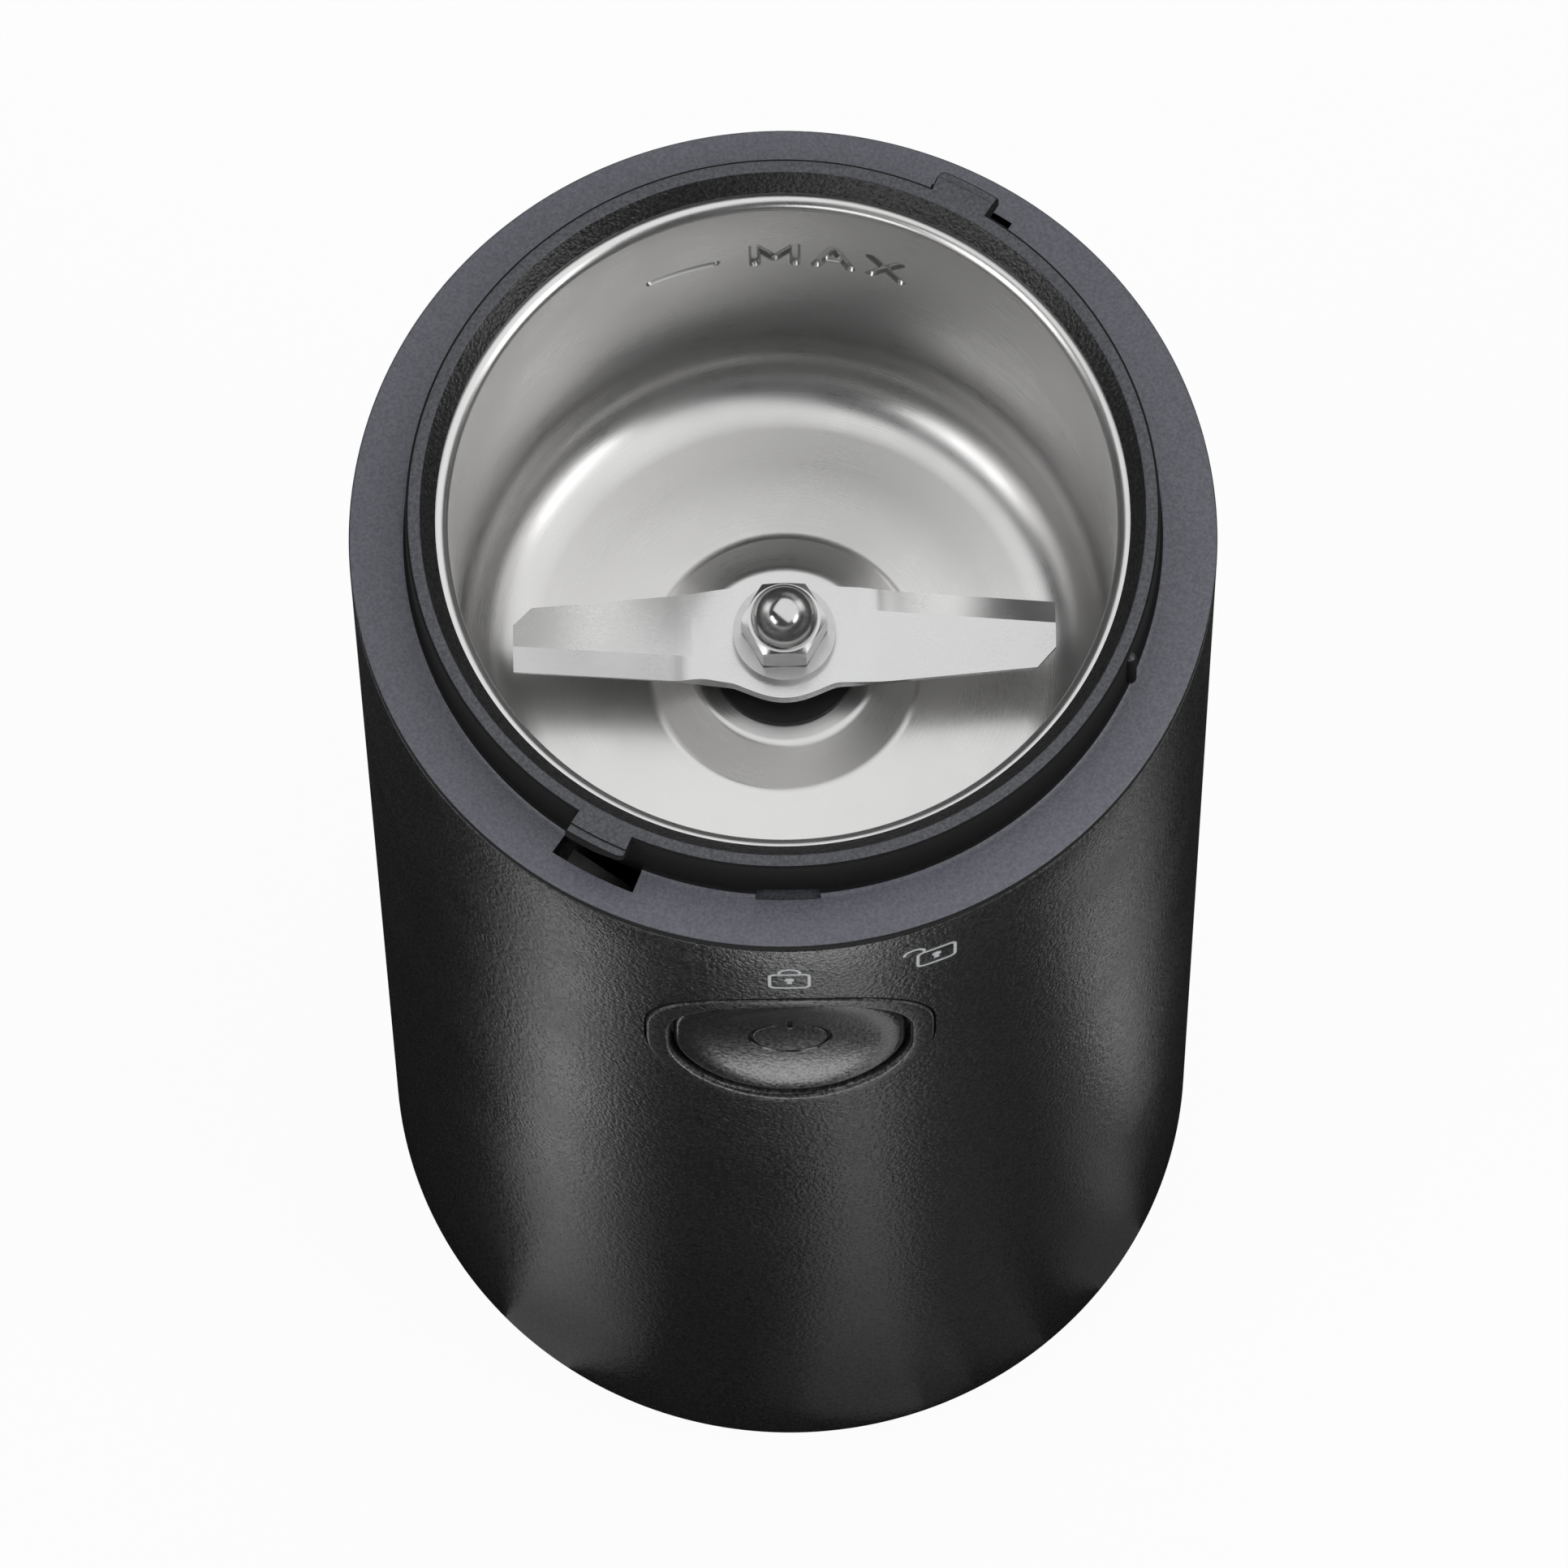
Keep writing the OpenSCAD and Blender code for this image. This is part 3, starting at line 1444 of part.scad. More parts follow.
module blade() {
    color("#d3d6da")
        translate([0, 0, z_blade])
            difference() {
                union() {
                    cylinder(h = blade_t, d = washer_d + 2 * blade_t);
                    for (s = [0, 180])
                        rotate([0, 0, s])
                            difference() {
                                translate([0, 0, blade_t / 2])
                                    blade_wing();
                                translate([0, 0, -blade_w])
                                    cylinder(h = 2 * blade_w, d = washer_d + blade_t);
                            }
                }
                translate([0, 0, -1])
                    cylinder(h = blade_t + 2, r = stud_d / 2 + fit);
            }
}

module blade_washer() {
    color("#b9bcc0")
        tube(stud_d / 2 + fit, washer_d / 2, z_washer, z_nut);
}

module blade_nut() {
    color("#d0d3d7")
        translate([0, 0, z_nut])
            difference() {
                union() {
                    cylinder(h = nut_h, d = nut_af / cos(30), $fn = 6);
                    translate([0, 0, nut_h])
                        sphere(d = dome_d);
                }
                translate([0, 0, -1])
                    cylinder(h = nut_h + 1 + slide_gap, r = stud_d / 2 + fit);
            }
}

outer_shell();
top_ring();
cup_seal();
grinding_cup();
motor_carrier();
housing_screws();
base_plate();
base_screws();
rubber_feet();
cord_inlet();
button_bezel();
power_button();
button_back();
button_spring();
power_switch();
power_switch_plunger();
interlock_rod();
interlock_spring();
interlock_switch();
interlock_switch_plunger();
switch_pins();
switch_terminals();
lead_wires();
rubber_mounts();
motor_screws();
upper_bracket();
upper_bearing();
stator_core();
field_coils();
stator_bolts();
lower_bracket();
lower_bearing();
brush_holders();
carbon_brushes();
brush_springs();
motor_shaft();
armature_core();
armature_winding();
commutator_hub();
commutator_bars();
thrust_washer();
shaft_seal();
blade_spacer();
blade();
blade_washer();
blade_nut();
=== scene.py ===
import json
import math

import bmesh
import bpy
from mathutils import Matrix, Vector


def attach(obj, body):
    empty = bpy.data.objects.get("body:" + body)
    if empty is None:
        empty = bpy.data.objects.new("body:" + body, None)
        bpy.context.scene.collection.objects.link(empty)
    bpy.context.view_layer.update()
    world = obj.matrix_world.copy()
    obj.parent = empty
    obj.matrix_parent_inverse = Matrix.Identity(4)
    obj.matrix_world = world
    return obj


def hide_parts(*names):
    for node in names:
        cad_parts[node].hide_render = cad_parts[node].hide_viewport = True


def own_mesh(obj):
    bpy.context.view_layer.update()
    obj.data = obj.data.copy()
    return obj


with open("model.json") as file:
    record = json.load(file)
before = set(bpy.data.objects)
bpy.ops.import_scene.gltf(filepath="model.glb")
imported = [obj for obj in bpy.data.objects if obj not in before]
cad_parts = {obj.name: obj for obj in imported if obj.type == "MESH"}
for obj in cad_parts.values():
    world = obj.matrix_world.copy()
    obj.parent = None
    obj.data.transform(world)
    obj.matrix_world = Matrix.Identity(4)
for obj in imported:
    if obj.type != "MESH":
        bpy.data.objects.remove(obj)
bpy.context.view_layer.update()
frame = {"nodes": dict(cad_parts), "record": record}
nodes = frame["nodes"]
MM = 0.001

# Sizes in millimetres, the same as the solids have
Z_EDGE, Z_LAND, Z_RING, Z_COLLAR = 2.0, 172.8, 174.0, 181.7
Z_RIM, Z_LIP, Z_FLOOR, Z_BOSS = 179.0, 179.4, 134.0, 136.5
FOOT_R, TOP_R, WALL = 43.8, 46.0, 2.5
COLLAR_R, COLLAR_IR, LAND_IR, LIP_R = 39.9, 37.95, 38.4, 36.75
CUP_R, CUP_LOW_R, FLANGE_R, SHEET = 35.4, 34.6, 37.8, 0.8
LOCK, LUG_SPAN, LUG_OUT = 28.9, 9.5, 42.2
BTN_Z, TALL = 139.5, 3.6
BTN_R, BORE_R, BEZEL_R, SLEEVE_R = 12.4, 12.8, 15.3, 14.6
BEZEL_FACE, BTN_FACE = 45.98, 45.38
DISH_DEPTH, DISH_R = 1.25, 60.0

# Distances in metres below which points are one, and faces too thin to keep
WELD, CUT_WELD, SLIVER = 1e-7, 1e-6, 1e-8
# Angles in degrees above which an edge is shaded sharp, on the pieces made here and on the solids
SHARP, NODE_SHARP = 32.0, 28.0


def body_r(z):
    return FOOT_R + (TOP_R - FOOT_R) * (z - Z_EDGE) / (Z_RING - Z_EDGE)


def bore_r(z):
    return body_r(z) - WALL


def spot(r, a):
    """Plan point at radius r and angle a in degrees from the front toward +X."""
    t = math.radians(a)
    return r * math.sin(t), -r * math.cos(t)


def smooth(a, b, x):
    t = min(1.0, max(0.0, (x - a) / (b - a)))
    return t * t * (3 - 2 * t)


# Mesh helpers

def make(name, verts, faces, sharp=SHARP):
    mesh = bpy.data.meshes.new(name)
    mesh.from_pydata([Vector(v) * MM for v in verts], [], faces)
    obj = bpy.data.objects.new(name, mesh)
    bpy.context.scene.collection.objects.link(obj)
    clean(obj, sharp)
    return obj


def clean(obj, sharp=SHARP, weld=WELD):
    bm = bmesh.new()
    bm.from_mesh(obj.data)
    bmesh.ops.remove_doubles(bm, verts=bm.verts, dist=weld)
    bmesh.ops.dissolve_degenerate(bm, edges=bm.edges, dist=SLIVER)
    bmesh.ops.recalc_face_normals(bm, faces=bm.faces)
    bm.to_mesh(obj.data)
    bm.free()
    obj.data.shade_smooth()
    obj.data.set_sharp_from_angle(angle=math.radians(sharp))


def quads(rows, columns, closed=False):
    """Faces between rows of points that are closed outlines, where closed joins the last row to the first."""
    return [(i * columns + j, i * columns + (j + 1) % columns,
             (i + 1) % rows * columns + (j + 1) % columns, (i + 1) % rows * columns + j)
            for i in range(rows if closed else rows - 1) for j in range(columns)]


def cap(row, columns):
    return tuple(range(row * columns, (row + 1) * columns))


def rounded(points, steps=6):
    """Closed outline whose corners are rounded where a point has a third number."""
    out = []
    count = len(points)
    for i, p in enumerate(points):
        if len(p) < 3 or p[2] <= 0:
            out.append((p[0], p[1]))
            continue
        here = Vector(p[:2])
        a = Vector(points[i - 1][:2]) - here
        b = Vector(points[(i + 1) % count][:2]) - here
        a.normalize()
        b.normalize()
        half = a.angle(b) / 2
        reach = p[2] / math.tan(half)
        mid = here + (a + b).normalized() * (p[2] / math.sin(half))
        u = here + a * reach - mid
        v = here + b * reach - mid
        turn = math.atan2(u.x * v.y - u.y * v.x, u.dot(v))
        for k in range(steps + 1):
            t = turn * k / steps
            out.append((mid.x + u.x * math.cos(t) - u.y * math.sin(t),
                        mid.y + u.x * math.sin(t) + u.y * math.cos(t)))
    return out


def split(points, step):
    """Adds points to a closed outline so that no piece of it is longer than step."""
    out = []
    for i, p in enumerate(points):
        q = points[(i + 1) % len(points)]
        n = max(1, math.ceil(math.dist(p, q) / step))
        out += [(p[0] + (q[0] - p[0]) * k / n, p[1] + (q[1] - p[1]) * k / n) for k in range(n)]
    return out


def lathe(name, outline, angles):
    """Closed solid of revolution from (radius, height) points."""
    verts = [(*spot(r, a), z) for a in angles for r, z in outline]
    return make(name, verts, quads(len(angles), len(outline), True))


def prism(name, outline, a, b, place):
    """Prism over an outline, where place gives the point for (u, v, depth)."""
    n = len(outline)
    verts = [place(u, v, a) for u, v in outline] + [place(u, v, b) for u, v in outline]
    return make(name, verts, [cap(0, n), cap(1, n)] + quads(2, n))


def upright(u, v, depth):
    """Place for a prism that stands on its plan."""
    return u, v, depth


def box_piece(name, a, b):
    outline = [(a[0], a[1]), (b[0], a[1]), (b[0], b[1]), (a[0], b[1])]
    return prism(name, outline, a[2], b[2], upright)


def pill(r, count=96):
    """Outline of the button's kind: round above and below, straight at the sides."""
    out = []
    for i in range(count + 1):
        t = math.pi * i / count
        out.append((r * math.cos(t), r * math.sin(t) + TALL / 2))
    for i in range(count + 1):
        t = math.pi + math.pi * i / count
        out.append((r * math.cos(t), r * math.sin(t) - TALL / 2))
    return out


def pill_ring(name, section, place):
    """Closed ring with a section of (radius, depth) points along the button's outline."""
    outlines = [[place(u, v, depth) for u, v in pill(r)] for r, depth in section]
    verts = [point for outline in outlines for point in outline]
    return make(name, verts, quads(len(outlines), len(outlines[0]), True))


def cut(obj, cutter, sharp=SHARP):
    """Takes cutter, whose faces are made flat first, out of obj."""
    bm = bmesh.new()
    bm.from_mesh(cutter.data)
    bmesh.ops.triangulate(bm, faces=bm.faces)
    bm.to_mesh(cutter.data)
    bm.free()
    step = obj.modifiers.new("cut", "BOOLEAN")
    step.operation = "DIFFERENCE"
    step.solver = "EXACT"
    step.object = cutter
    shape = bpy.context.evaluated_depsgraph_get()
    mesh = bpy.data.meshes.new_from_object(obj.evaluated_get(shape))
    obj.modifiers.remove(step)
    old = obj.data
    obj.data = mesh
    bpy.data.meshes.remove(old)
    bpy.data.objects.remove(cutter)
    clean(obj, sharp, CUT_WELD)


def join(obj, *others):
    """Takes the meshes of others into obj."""
    bm = bmesh.new()
    bm.from_mesh(obj.data)
    for o in others:
        bm.from_mesh(o.data)
        bpy.data.objects.remove(o)
    bm.to_mesh(obj.data)
    bm.free()
    clean(obj)


# Materials

class Paint:
    """A material whose nodes are added by short calls."""

    def __init__(self, name):
        self.material = bpy.data.materials.new(name)
        self.material.use_nodes = True
        self.tree = self.material.node_tree
        self.shader = self.tree.nodes["Principled BSDF"]
        self.where = self.add("ShaderNodeTexCoord").outputs["Object"]

    def add(self, kind, inputs=None, **options):
        node = self.tree.nodes.new(kind)
        for key, value in options.items():
            setattr(node, key, value)
        for key, value in (inputs or {}).items():
            self.put(node.inputs[key], value)
        return node

    def put(self, socket, value):
        if isinstance(value, bpy.types.NodeSocket):
            self.tree.links.new(value, socket)
        else:
            socket.default_value = value

    def set(self, **values):
        for key, value in values.items():
            self.put(self.shader.inputs[key.replace("_", " ")], value)

    def noise(self, scale, detail=2.0, rough=0.5, at=None):
        node = self.add("ShaderNodeTexNoise", {"Vector": at or self.where, "Scale": scale,
                                               "Detail": detail, "Roughness": rough})
        return node.outputs["Fac"]

    def math(self, operation, a, b=0.0):
        return self.add("ShaderNodeMath", {0: a, 1: b}, operation=operation).outputs[0]

    def span(self, value, low, high, start=0.3, end=0.7):
        """Spreads a value from start to end over low to high."""
        node = self.add("ShaderNodeMapRange", {"Value": value, "From Min": start, "From Max": end,
                                               "To Min": low, "To Max": high})
        return node.outputs["Result"]

    def tint(self, factor, a, b):
        node = self.add("ShaderNodeMix", {0: factor, 7: (*b, 1)}, data_type="RGBA")
        self.put(node.inputs[6], a if isinstance(a, bpy.types.NodeSocket) else (*a, 1))
        return node.outputs[2]

    def stretch(self, x, y, z):
        return self.add("ShaderNodeMapping", {"Vector": self.where, "Scale": (x, y, z)}).outputs["Vector"]

    def bump(self, height, strength, depth_mm, below=None):
        inputs = {"Height": height, "Strength": strength, "Distance": depth_mm * MM}
        if below:
            inputs["Normal"] = below
        return self.add("ShaderNodeBump", inputs).outputs["Normal"]


def shade(color, k):
    return tuple(min(1.0, c * k) for c in color)


def moulded(name, color, rough, grain, depth, spread=0.12, edge_sheen=0.0, specular=0.5, glint=0.0, tall=1.0):
    """Moulded plastic or rubber with an eroded grain that glints, faint mottling, and sharp edges painted
    paler as a painted highlight.
    """
    p = Paint(name)
    fine = p.noise(grain, 2.0, 0.55, p.stretch(1.0, 1.0, 1.0 / tall))
    broad = p.noise(55.0, 3.0, 0.55)
    mix = p.tint(p.span(fine, 0.0, 1.0), shade(color, 1 - spread), shade(color, 1 + spread))
    # Painted highlight: sharp convex edges, found by pointiness, are painted paler, up to 1.7 times the
    # colour
    if edge_sheen:
        edge = p.add("ShaderNodeNewGeometry").outputs["Pointiness"]
        mix = p.tint(p.span(edge, 0.0, edge_sheen, 0.52, 0.62), mix, shade(color, 1.7))
    rough_map = p.math("ADD", p.span(broad, rough - 0.03, rough + 0.03), p.span(fine, -0.05, 0.05, 0.2, 0.8))
    p.set(Base_Color=mix, Roughness=rough_map, Normal=p.bump(fine, 1.0, depth), Specular_IOR_Level=specular)
    if glint:
        p.set(Specular_IOR_Level=p.span(fine, specular - glint, specular + glint, 0.32, 0.68))
    return p.material


def turned_steel(name, color, rough, lines, depth):
    """Drawn or turned steel: fine rings around the axis, cloudy roughness, faint scratches."""
    p = Paint(name)
    parts = p.add("ShaderNodeSeparateXYZ", {0: p.where})
    flat = p.add("ShaderNodeCombineXYZ", {"X": parts.outputs["X"], "Y": parts.outputs["Y"]})
    radius = p.add("ShaderNodeVectorMath", {0: flat.outputs[0]}, operation="LENGTH").outputs["Value"]
    along = p.math("ADD", radius, parts.outputs["Z"])
    line = p.add("ShaderNodeTexNoise", {"W": along, "Scale": lines, "Detail": 4.0, "Roughness": 0.6},
                 noise_dimensions="1D").outputs["Fac"]
    cloud = p.noise(90.0, 4.0, 0.6)
    scratch = p.noise(600.0, 2.0, 0.5, p.stretch(1.0, 1.0, 14.0))
    p.set(Base_Color=p.tint(p.math("MULTIPLY", line, cloud), shade(color, 0.86), shade(color, 1.06)),
          Metallic=1.0,
          Roughness=p.math("ADD", p.span(cloud, rough - 0.04, rough + 0.05),
                           p.span(line, -0.03, 0.03)),
          Normal=p.bump(scratch, 0.25, depth, p.bump(line, 0.35, depth)))
    return p.material


def ground_steel(name, color, rough, lines=900.0, depth=0.004, across=1.0):
    """Ground or plated steel with small stains, and lines along X where across is over 1."""
    p = Paint(name)
    line = p.noise(lines, 3.0, 0.6, p.stretch(1.0, across, 1.0))
    cloud = p.noise(160.0, 4.0, 0.6)
    p.set(Base_Color=p.tint(cloud, shade(color, 0.82), shade(color, 1.05)), Metallic=1.0,
          Roughness=p.math("ADD", p.span(cloud, rough - 0.05, rough + 0.06),
                           p.span(line, -0.04, 0.04)),
          Normal=p.bump(line, 0.4, depth))
    return p.material


def stacked(name, color, pitch_mm, rough, depth):
    """Stack of sheets, or turns of wire, one above the other."""
    p = Paint(name)
    wave = p.add("ShaderNodeTexWave", {"Vector": p.where, "Scale": 1.0 / (pitch_mm * MM) / 20.0,
                                       "Distortion": 0.35, "Detail": 2.0, "Detail Scale": 60.0},
                 wave_type="BANDS", bands_direction="Z").outputs["Fac"]
    cloud = p.noise(220.0, 3.0, 0.6)
    p.set(Base_Color=p.tint(p.math("MULTIPLY", wave, p.span(cloud, 0.6, 1.0, 0.2, 0.8)),
                            shade(color, 0.55), shade(color, 1.1)),
          Metallic=1.0, Roughness=p.span(cloud, rough - 0.06, rough + 0.06),
          Normal=p.bump(wave, 0.6, depth))
    return p.material


shell_paint = moulded("spark_textured_plastic", (0.0125, 0.0125, 0.0135), rough=0.27, grain=2300.0,
                      depth=0.12, spread=0.25, edge_sheen=0.1, glint=0.22, tall=1.6)
bezel_paint = moulded("bezel_plastic", (0.015, 0.015, 0.016), rough=0.3, grain=2300.0, depth=0.07,
                      spread=0.3, edge_sheen=0.2, glint=0.4)
button_paint = moulded("button_plastic", (0.017, 0.017, 0.018), rough=0.21, grain=2700.0, depth=0.035,
                       spread=0.3, edge_sheen=0.2, specular=0.68, glint=0.3, tall=1.6)
ring_paint = moulded("ring_plastic", (0.107, 0.11, 0.134), rough=0.38, grain=3100.0, depth=0.05,
                     spread=0.16, glint=0.12)
# Painted shade: the next three are darker copies of the ring's plastic for its faces that face away from the
# light; the darkest, near black and matt, also goes on the bezel's outer side and in the button's engraved
# sign
half_shade_paint = moulded("painted_half_shade_plastic", (0.055, 0.057, 0.067), rough=0.4, grain=2800.0, depth=0.05,
                     spread=0.25, glint=0.15)
deepest_shade_paint = moulded("painted_deepest_shade_plastic", (0.008, 0.008, 0.0085), rough=0.7, grain=2400.0, depth=0.05,
                     spread=0.3, specular=0.12)
dark_shade_paint = moulded("painted_dark_shade_plastic", (0.011, 0.011, 0.0115), rough=0.34, grain=2500.0, depth=0.12,
                       spread=0.25, glint=0.2)
base_paint = moulded("base_plastic", (0.014, 0.014, 0.0155), rough=0.5, grain=1700.0, depth=0.05,
                     spread=0.2, edge_sheen=0.2)
rod_paint = moulded("rod_plastic", (0.017, 0.015, 0.014), rough=0.4, grain=1900.0, depth=0.03,
                    spread=0.2, edge_sheen=0.2)
frame_paint = moulded("filled_nylon", (0.55, 0.52, 0.44), rough=0.5, grain=1400.0, depth=0.03,
                      spread=0.06, edge_sheen=0.1)
rubber_paint = moulded("moulded_rubber", (0.011, 0.011, 0.0115), rough=0.68, grain=1500.0, depth=0.05,
                       spread=0.2, edge_sheen=0.1, specular=0.35)
seal_paint = moulded("soft_seal", (0.02, 0.02, 0.021), rough=0.6, grain=1500.0, depth=0.03,
                     spread=0.15, specular=0.4)
red_paint = moulded("switch_plastic", (0.26, 0.03, 0.022), rough=0.35, grain=1500.0, depth=0.02,
                    spread=0.1, edge_sheen=0.2)
white_paint = moulded("white_plastic", (0.66, 0.63, 0.56), rough=0.35, grain=1500.0, depth=0.02,
                      spread=0.05, edge_sheen=0.1)
lead_paint = moulded("lead_cover", (0.03, 0.06, 0.2), rough=0.45, grain=1200.0, depth=0.02, spread=0.1)
carbon_paint = moulded("pressed_carbon", (0.012, 0.012, 0.012), rough=0.55, grain=1800.0, depth=0.04,
                       spread=0.3, edge_sheen=0.2)
icon_paint = moulded("printed_ink", (0.47, 0.48, 0.49), rough=0.5, grain=2100.0, depth=0.02, spread=0.1)
cup_paint = turned_steel("drawn_steel", (0.66, 0.655, 0.65), rough=0.3, lines=5200.0, depth=0.004)
blade_paint = ground_steel("ground_blade_steel", (0.58, 0.58, 0.58), rough=0.24, lines=1500.0, across=9.0)
nut_paint = ground_steel("plated_nut", (0.55, 0.55, 0.55), rough=0.16, depth=0.001)
screw_paint = ground_steel("plated_steel", (0.5, 0.5, 0.5), rough=0.3)
cast_paint = ground_steel("cast_metal", (0.5, 0.5, 0.51), rough=0.5, lines=1200.0, depth=0.03)
bronze_paint = ground_steel("sintered_bronze", (0.45, 0.3, 0.13), rough=0.42, lines=1600.0, depth=0.01)
iron_paint = stacked("sheet_stack", (0.24, 0.24, 0.25), pitch_mm=0.5, rough=0.5, depth=0.05)
copper_paint = stacked("wound_wire", (0.5, 0.2, 0.07), pitch_mm=0.6, rough=0.38, depth=0.15)

PAINTS = {
    "shell": shell_paint, "ring": ring_paint, "button": bezel_paint, "steel": cup_paint,
    "blade_steel": blade_paint, "screw_steel": screw_paint, "iron": iron_paint,
    "bracket_metal": cast_paint, "copper": copper_paint, "bronze": bronze_paint, "carbon": carbon_paint,
    "rubber": rubber_paint, "seal": seal_paint, "frame_plastic": frame_paint, "base_plastic": base_paint,
    "switch_red": red_paint, "white_plastic": white_paint, "lead_cover": lead_paint,
}
for entry in frame["record"]["subparts"]:
    node = nodes[entry["node"]]
    paint = PAINTS[entry["material_slot"]]
    if entry["node"] == "interlock_rod":
        paint = rod_paint
    node.data.materials.clear()
    node.data.materials.append(paint)
    node.data.shade_smooth()
    node.data.set_sharp_from_angle(angle=math.radians(NODE_SHARP))


def fit_out(obj, body, slot, paint, *stands_for):
    """Paints a piece, puts it on its body and hides the nodes that it replaces; slot is not used."""
    obj.data.materials.clear()
    obj.data.materials.append(paint)
    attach(obj, body)
    if stands_for:
        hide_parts(*stands_for)
    return obj


ROUND_STEPS = 240
ROUND = [360.0 * i / ROUND_STEPS for i in range(ROUND_STEPS)]


def through_wall(u, v, depth):
    return u, depth, BTN_Z + v


def on_bezel(u, v, depth):
    """Point in front of the button's outline point, off the bezel's upright face by depth."""
    return u, -math.sqrt((BEZEL_FACE + depth) ** 2 - u * u), BTN_Z + v


def on_body(u, v, depth):
    """The same, off the body's tapered face."""
    return u, -math.sqrt((body_r(BTN_Z + v) + depth) ** 2 - u * u), BTN_Z + v


# Body tube, with the shadow line under the ring, the bezel's seat and the notch for the cord inlet
GROOVE_H, GROOVE_DEPTH = 0.35, 0.9
HOLE_R, HOLE_STEPS = 14.7, 89
SEAT_IN, SEAT_R, SEAT_DEPTH, SEAT_OUT = 14.0, BEZEL_R + 0.25, 1.3, 2.0
INLET_Z, INLET_R, INLET_STEPS = 12.0, 5.1, 24
OUTSIDE, INSIDE = 60.0, 37.0

groove_z = Z_LAND - GROOVE_H
shell_outline = rounded([
    (bore_r(Z_EDGE), Z_EDGE, 0.3), (body_r(Z_EDGE), Z_EDGE, 1.5),
    (body_r(groove_z), groove_z, 0.22), (body_r(groove_z) - GROOVE_DEPTH, groove_z),
    (body_r(Z_LAND) - GROOVE_DEPTH, Z_LAND), (bore_r(Z_LAND), Z_LAND)])
shell = lathe("body_tube", split(shell_outline, 9.0), ROUND)
cut(shell, prism("hole", pill(HOLE_R, HOLE_STEPS), -OUTSIDE, -INSIDE, through_wall))
seat = [(SEAT_IN, -SEAT_DEPTH), (SEAT_R, -SEAT_DEPTH), (SEAT_R, SEAT_OUT), (SEAT_IN, SEAT_OUT)]
cut(shell, pill_ring("seat", seat, on_body))
turns = [math.pi * i / INLET_STEPS for i in range(INLET_STEPS + 1)]
arch = [(INLET_R * math.cos(t), INLET_R * math.sin(t)) for t in turns]
notch = [(INLET_R, -INLET_Z), *arch, (-INLET_R, -INLET_Z)]
cut(shell, prism("notch", notch, INSIDE, OUTSIDE, lambda u, v, d: (u, d, INLET_Z + v)))
fit_out(shell, "housing", "shell", shell_paint, "outer_shell")

# Ring, collar and lid lugs
SKIRT_Z, SKIRT_TOP, SKIRT_GAP, SKIRT_WALL = 164.8, 171.6, 0.1, 1.6
CUT_TOP = Z_RING + 0.9
SLOT_HALF, SLOT_IN, SLOT_OUT, SLOT_LOW = 6.43, 0.25, 3.0, 160.0
STEP_HALF, STEP_REACH, STEP_DEPTH = 4.9, 0.85, 0.4
LUG_ROOT, LUG_LOW, LEAD_IN, LUG_CORNER, LUG_CHAMFER = 0.42, 179.3, 1.0, 0.75, 0.25
LUG_STEPS, CORNER_SHARE, END_SHARE, LUG_SINK = 18, 0.12, 0.025, 0.005
STRIP_W, STRIP_DROP, STRIP_IN = 0.9, 0.3, 0.02
RIB_ANGLE, RIB_R, RIB_LOW = 65.8, 0.75, 172.0
RIB_END = [(RIB_R, 180.0), (0.7, 180.25), (0.55, 180.5), (0.3, 180.7), (0.0, 180.75)]

skirt_r = bore_r(SKIRT_Z) - SKIRT_GAP
ring_outline = rounded([
    (skirt_r, SKIRT_Z, 0.3), (bore_r(Z_LAND) - SKIRT_GAP, Z_LAND), (body_r(Z_LAND), Z_LAND, 0.12),
    (body_r(Z_RING), Z_RING, 0.25), (COLLAR_R, Z_RING, 0.8), (COLLAR_R, Z_COLLAR, 0.4),
    (LAND_IR, Z_COLLAR, 0.25), (LIP_R, Z_LIP + 0.4, 0.15), (LIP_R, Z_LIP, 0.1), (COLLAR_IR, Z_LIP),
    (COLLAR_IR, SKIRT_TOP), (skirt_r - SKIRT_WALL, SKIRT_TOP), (skirt_r - SKIRT_WALL, SKIRT_Z, 0.3)], 5)
ring = lathe("ring_and_collar", ring_outline, ROUND)


def wedge(name, r0, r1, middle, half, z0, z1, steps=14):
    """Block between two radii and two heights, half degrees to each side of middle."""
    angles = [middle - half + 2 * half * i / steps for i in range(steps + 1)]
    outline = [spot(r1, a) for a in angles] + [spot(r0, a) for a in reversed(angles)]
    return prism(name, outline, z0, z1, upright)


for middle in (-LOCK, 180 - LOCK):
    cut(ring, wedge("slot", COLLAR_R - SLOT_IN, COLLAR_R + SLOT_OUT, middle, SLOT_HALF, SLOT_LOW, CUT_TOP))
cut(ring, wedge("step", COLLAR_R - STEP_REACH, COLLAR_R + STEP_REACH, 0.0, STEP_HALF,
                Z_RING - STEP_DEPTH, CUT_TOP))


def lug(name, middle):
    """Lid lug: flat top, a lower strip on its outer side and a lead-in under its right end."""
    rows = []
    root = COLLAR_R - LUG_ROOT
    shares = [0.0, END_SHARE, *[i / LUG_STEPS for i in range(1, LUG_STEPS)], 1 - END_SHARE, 1.0]
    for t in shares:
        a = middle + LUG_SPAN * (t - 0.5)
        top = Z_COLLAR - (LUG_CHAMFER if t in (0.0, 1.0) else LUG_SINK)
        end = max(0.0, (t - 1 + CORNER_SHARE) / CORNER_SHARE)
        out = LUG_OUT - LUG_CORNER * (1 - math.sqrt(max(0.0, 1 - end ** 2)))
        low = LUG_LOW + max(0.0, 2 * t - 1) * LEAD_IN
        strip = min(out, LUG_OUT - STRIP_W) - STRIP_IN
        section = rounded([(root, low), (out, low, 0.2), (out, top - STRIP_DROP, 0.25),
                           (strip, top - STRIP_DROP), (strip, top, 0.12), (root, top)], 3)
        rows.append([(*spot(r, a), z) for r, z in section])
    n = len(rows[0])
    verts = [point for row in rows for point in row]
    return make(name, verts, quads(len(rows), n) + [cap(0, n), cap(len(rows) - 1, n)])


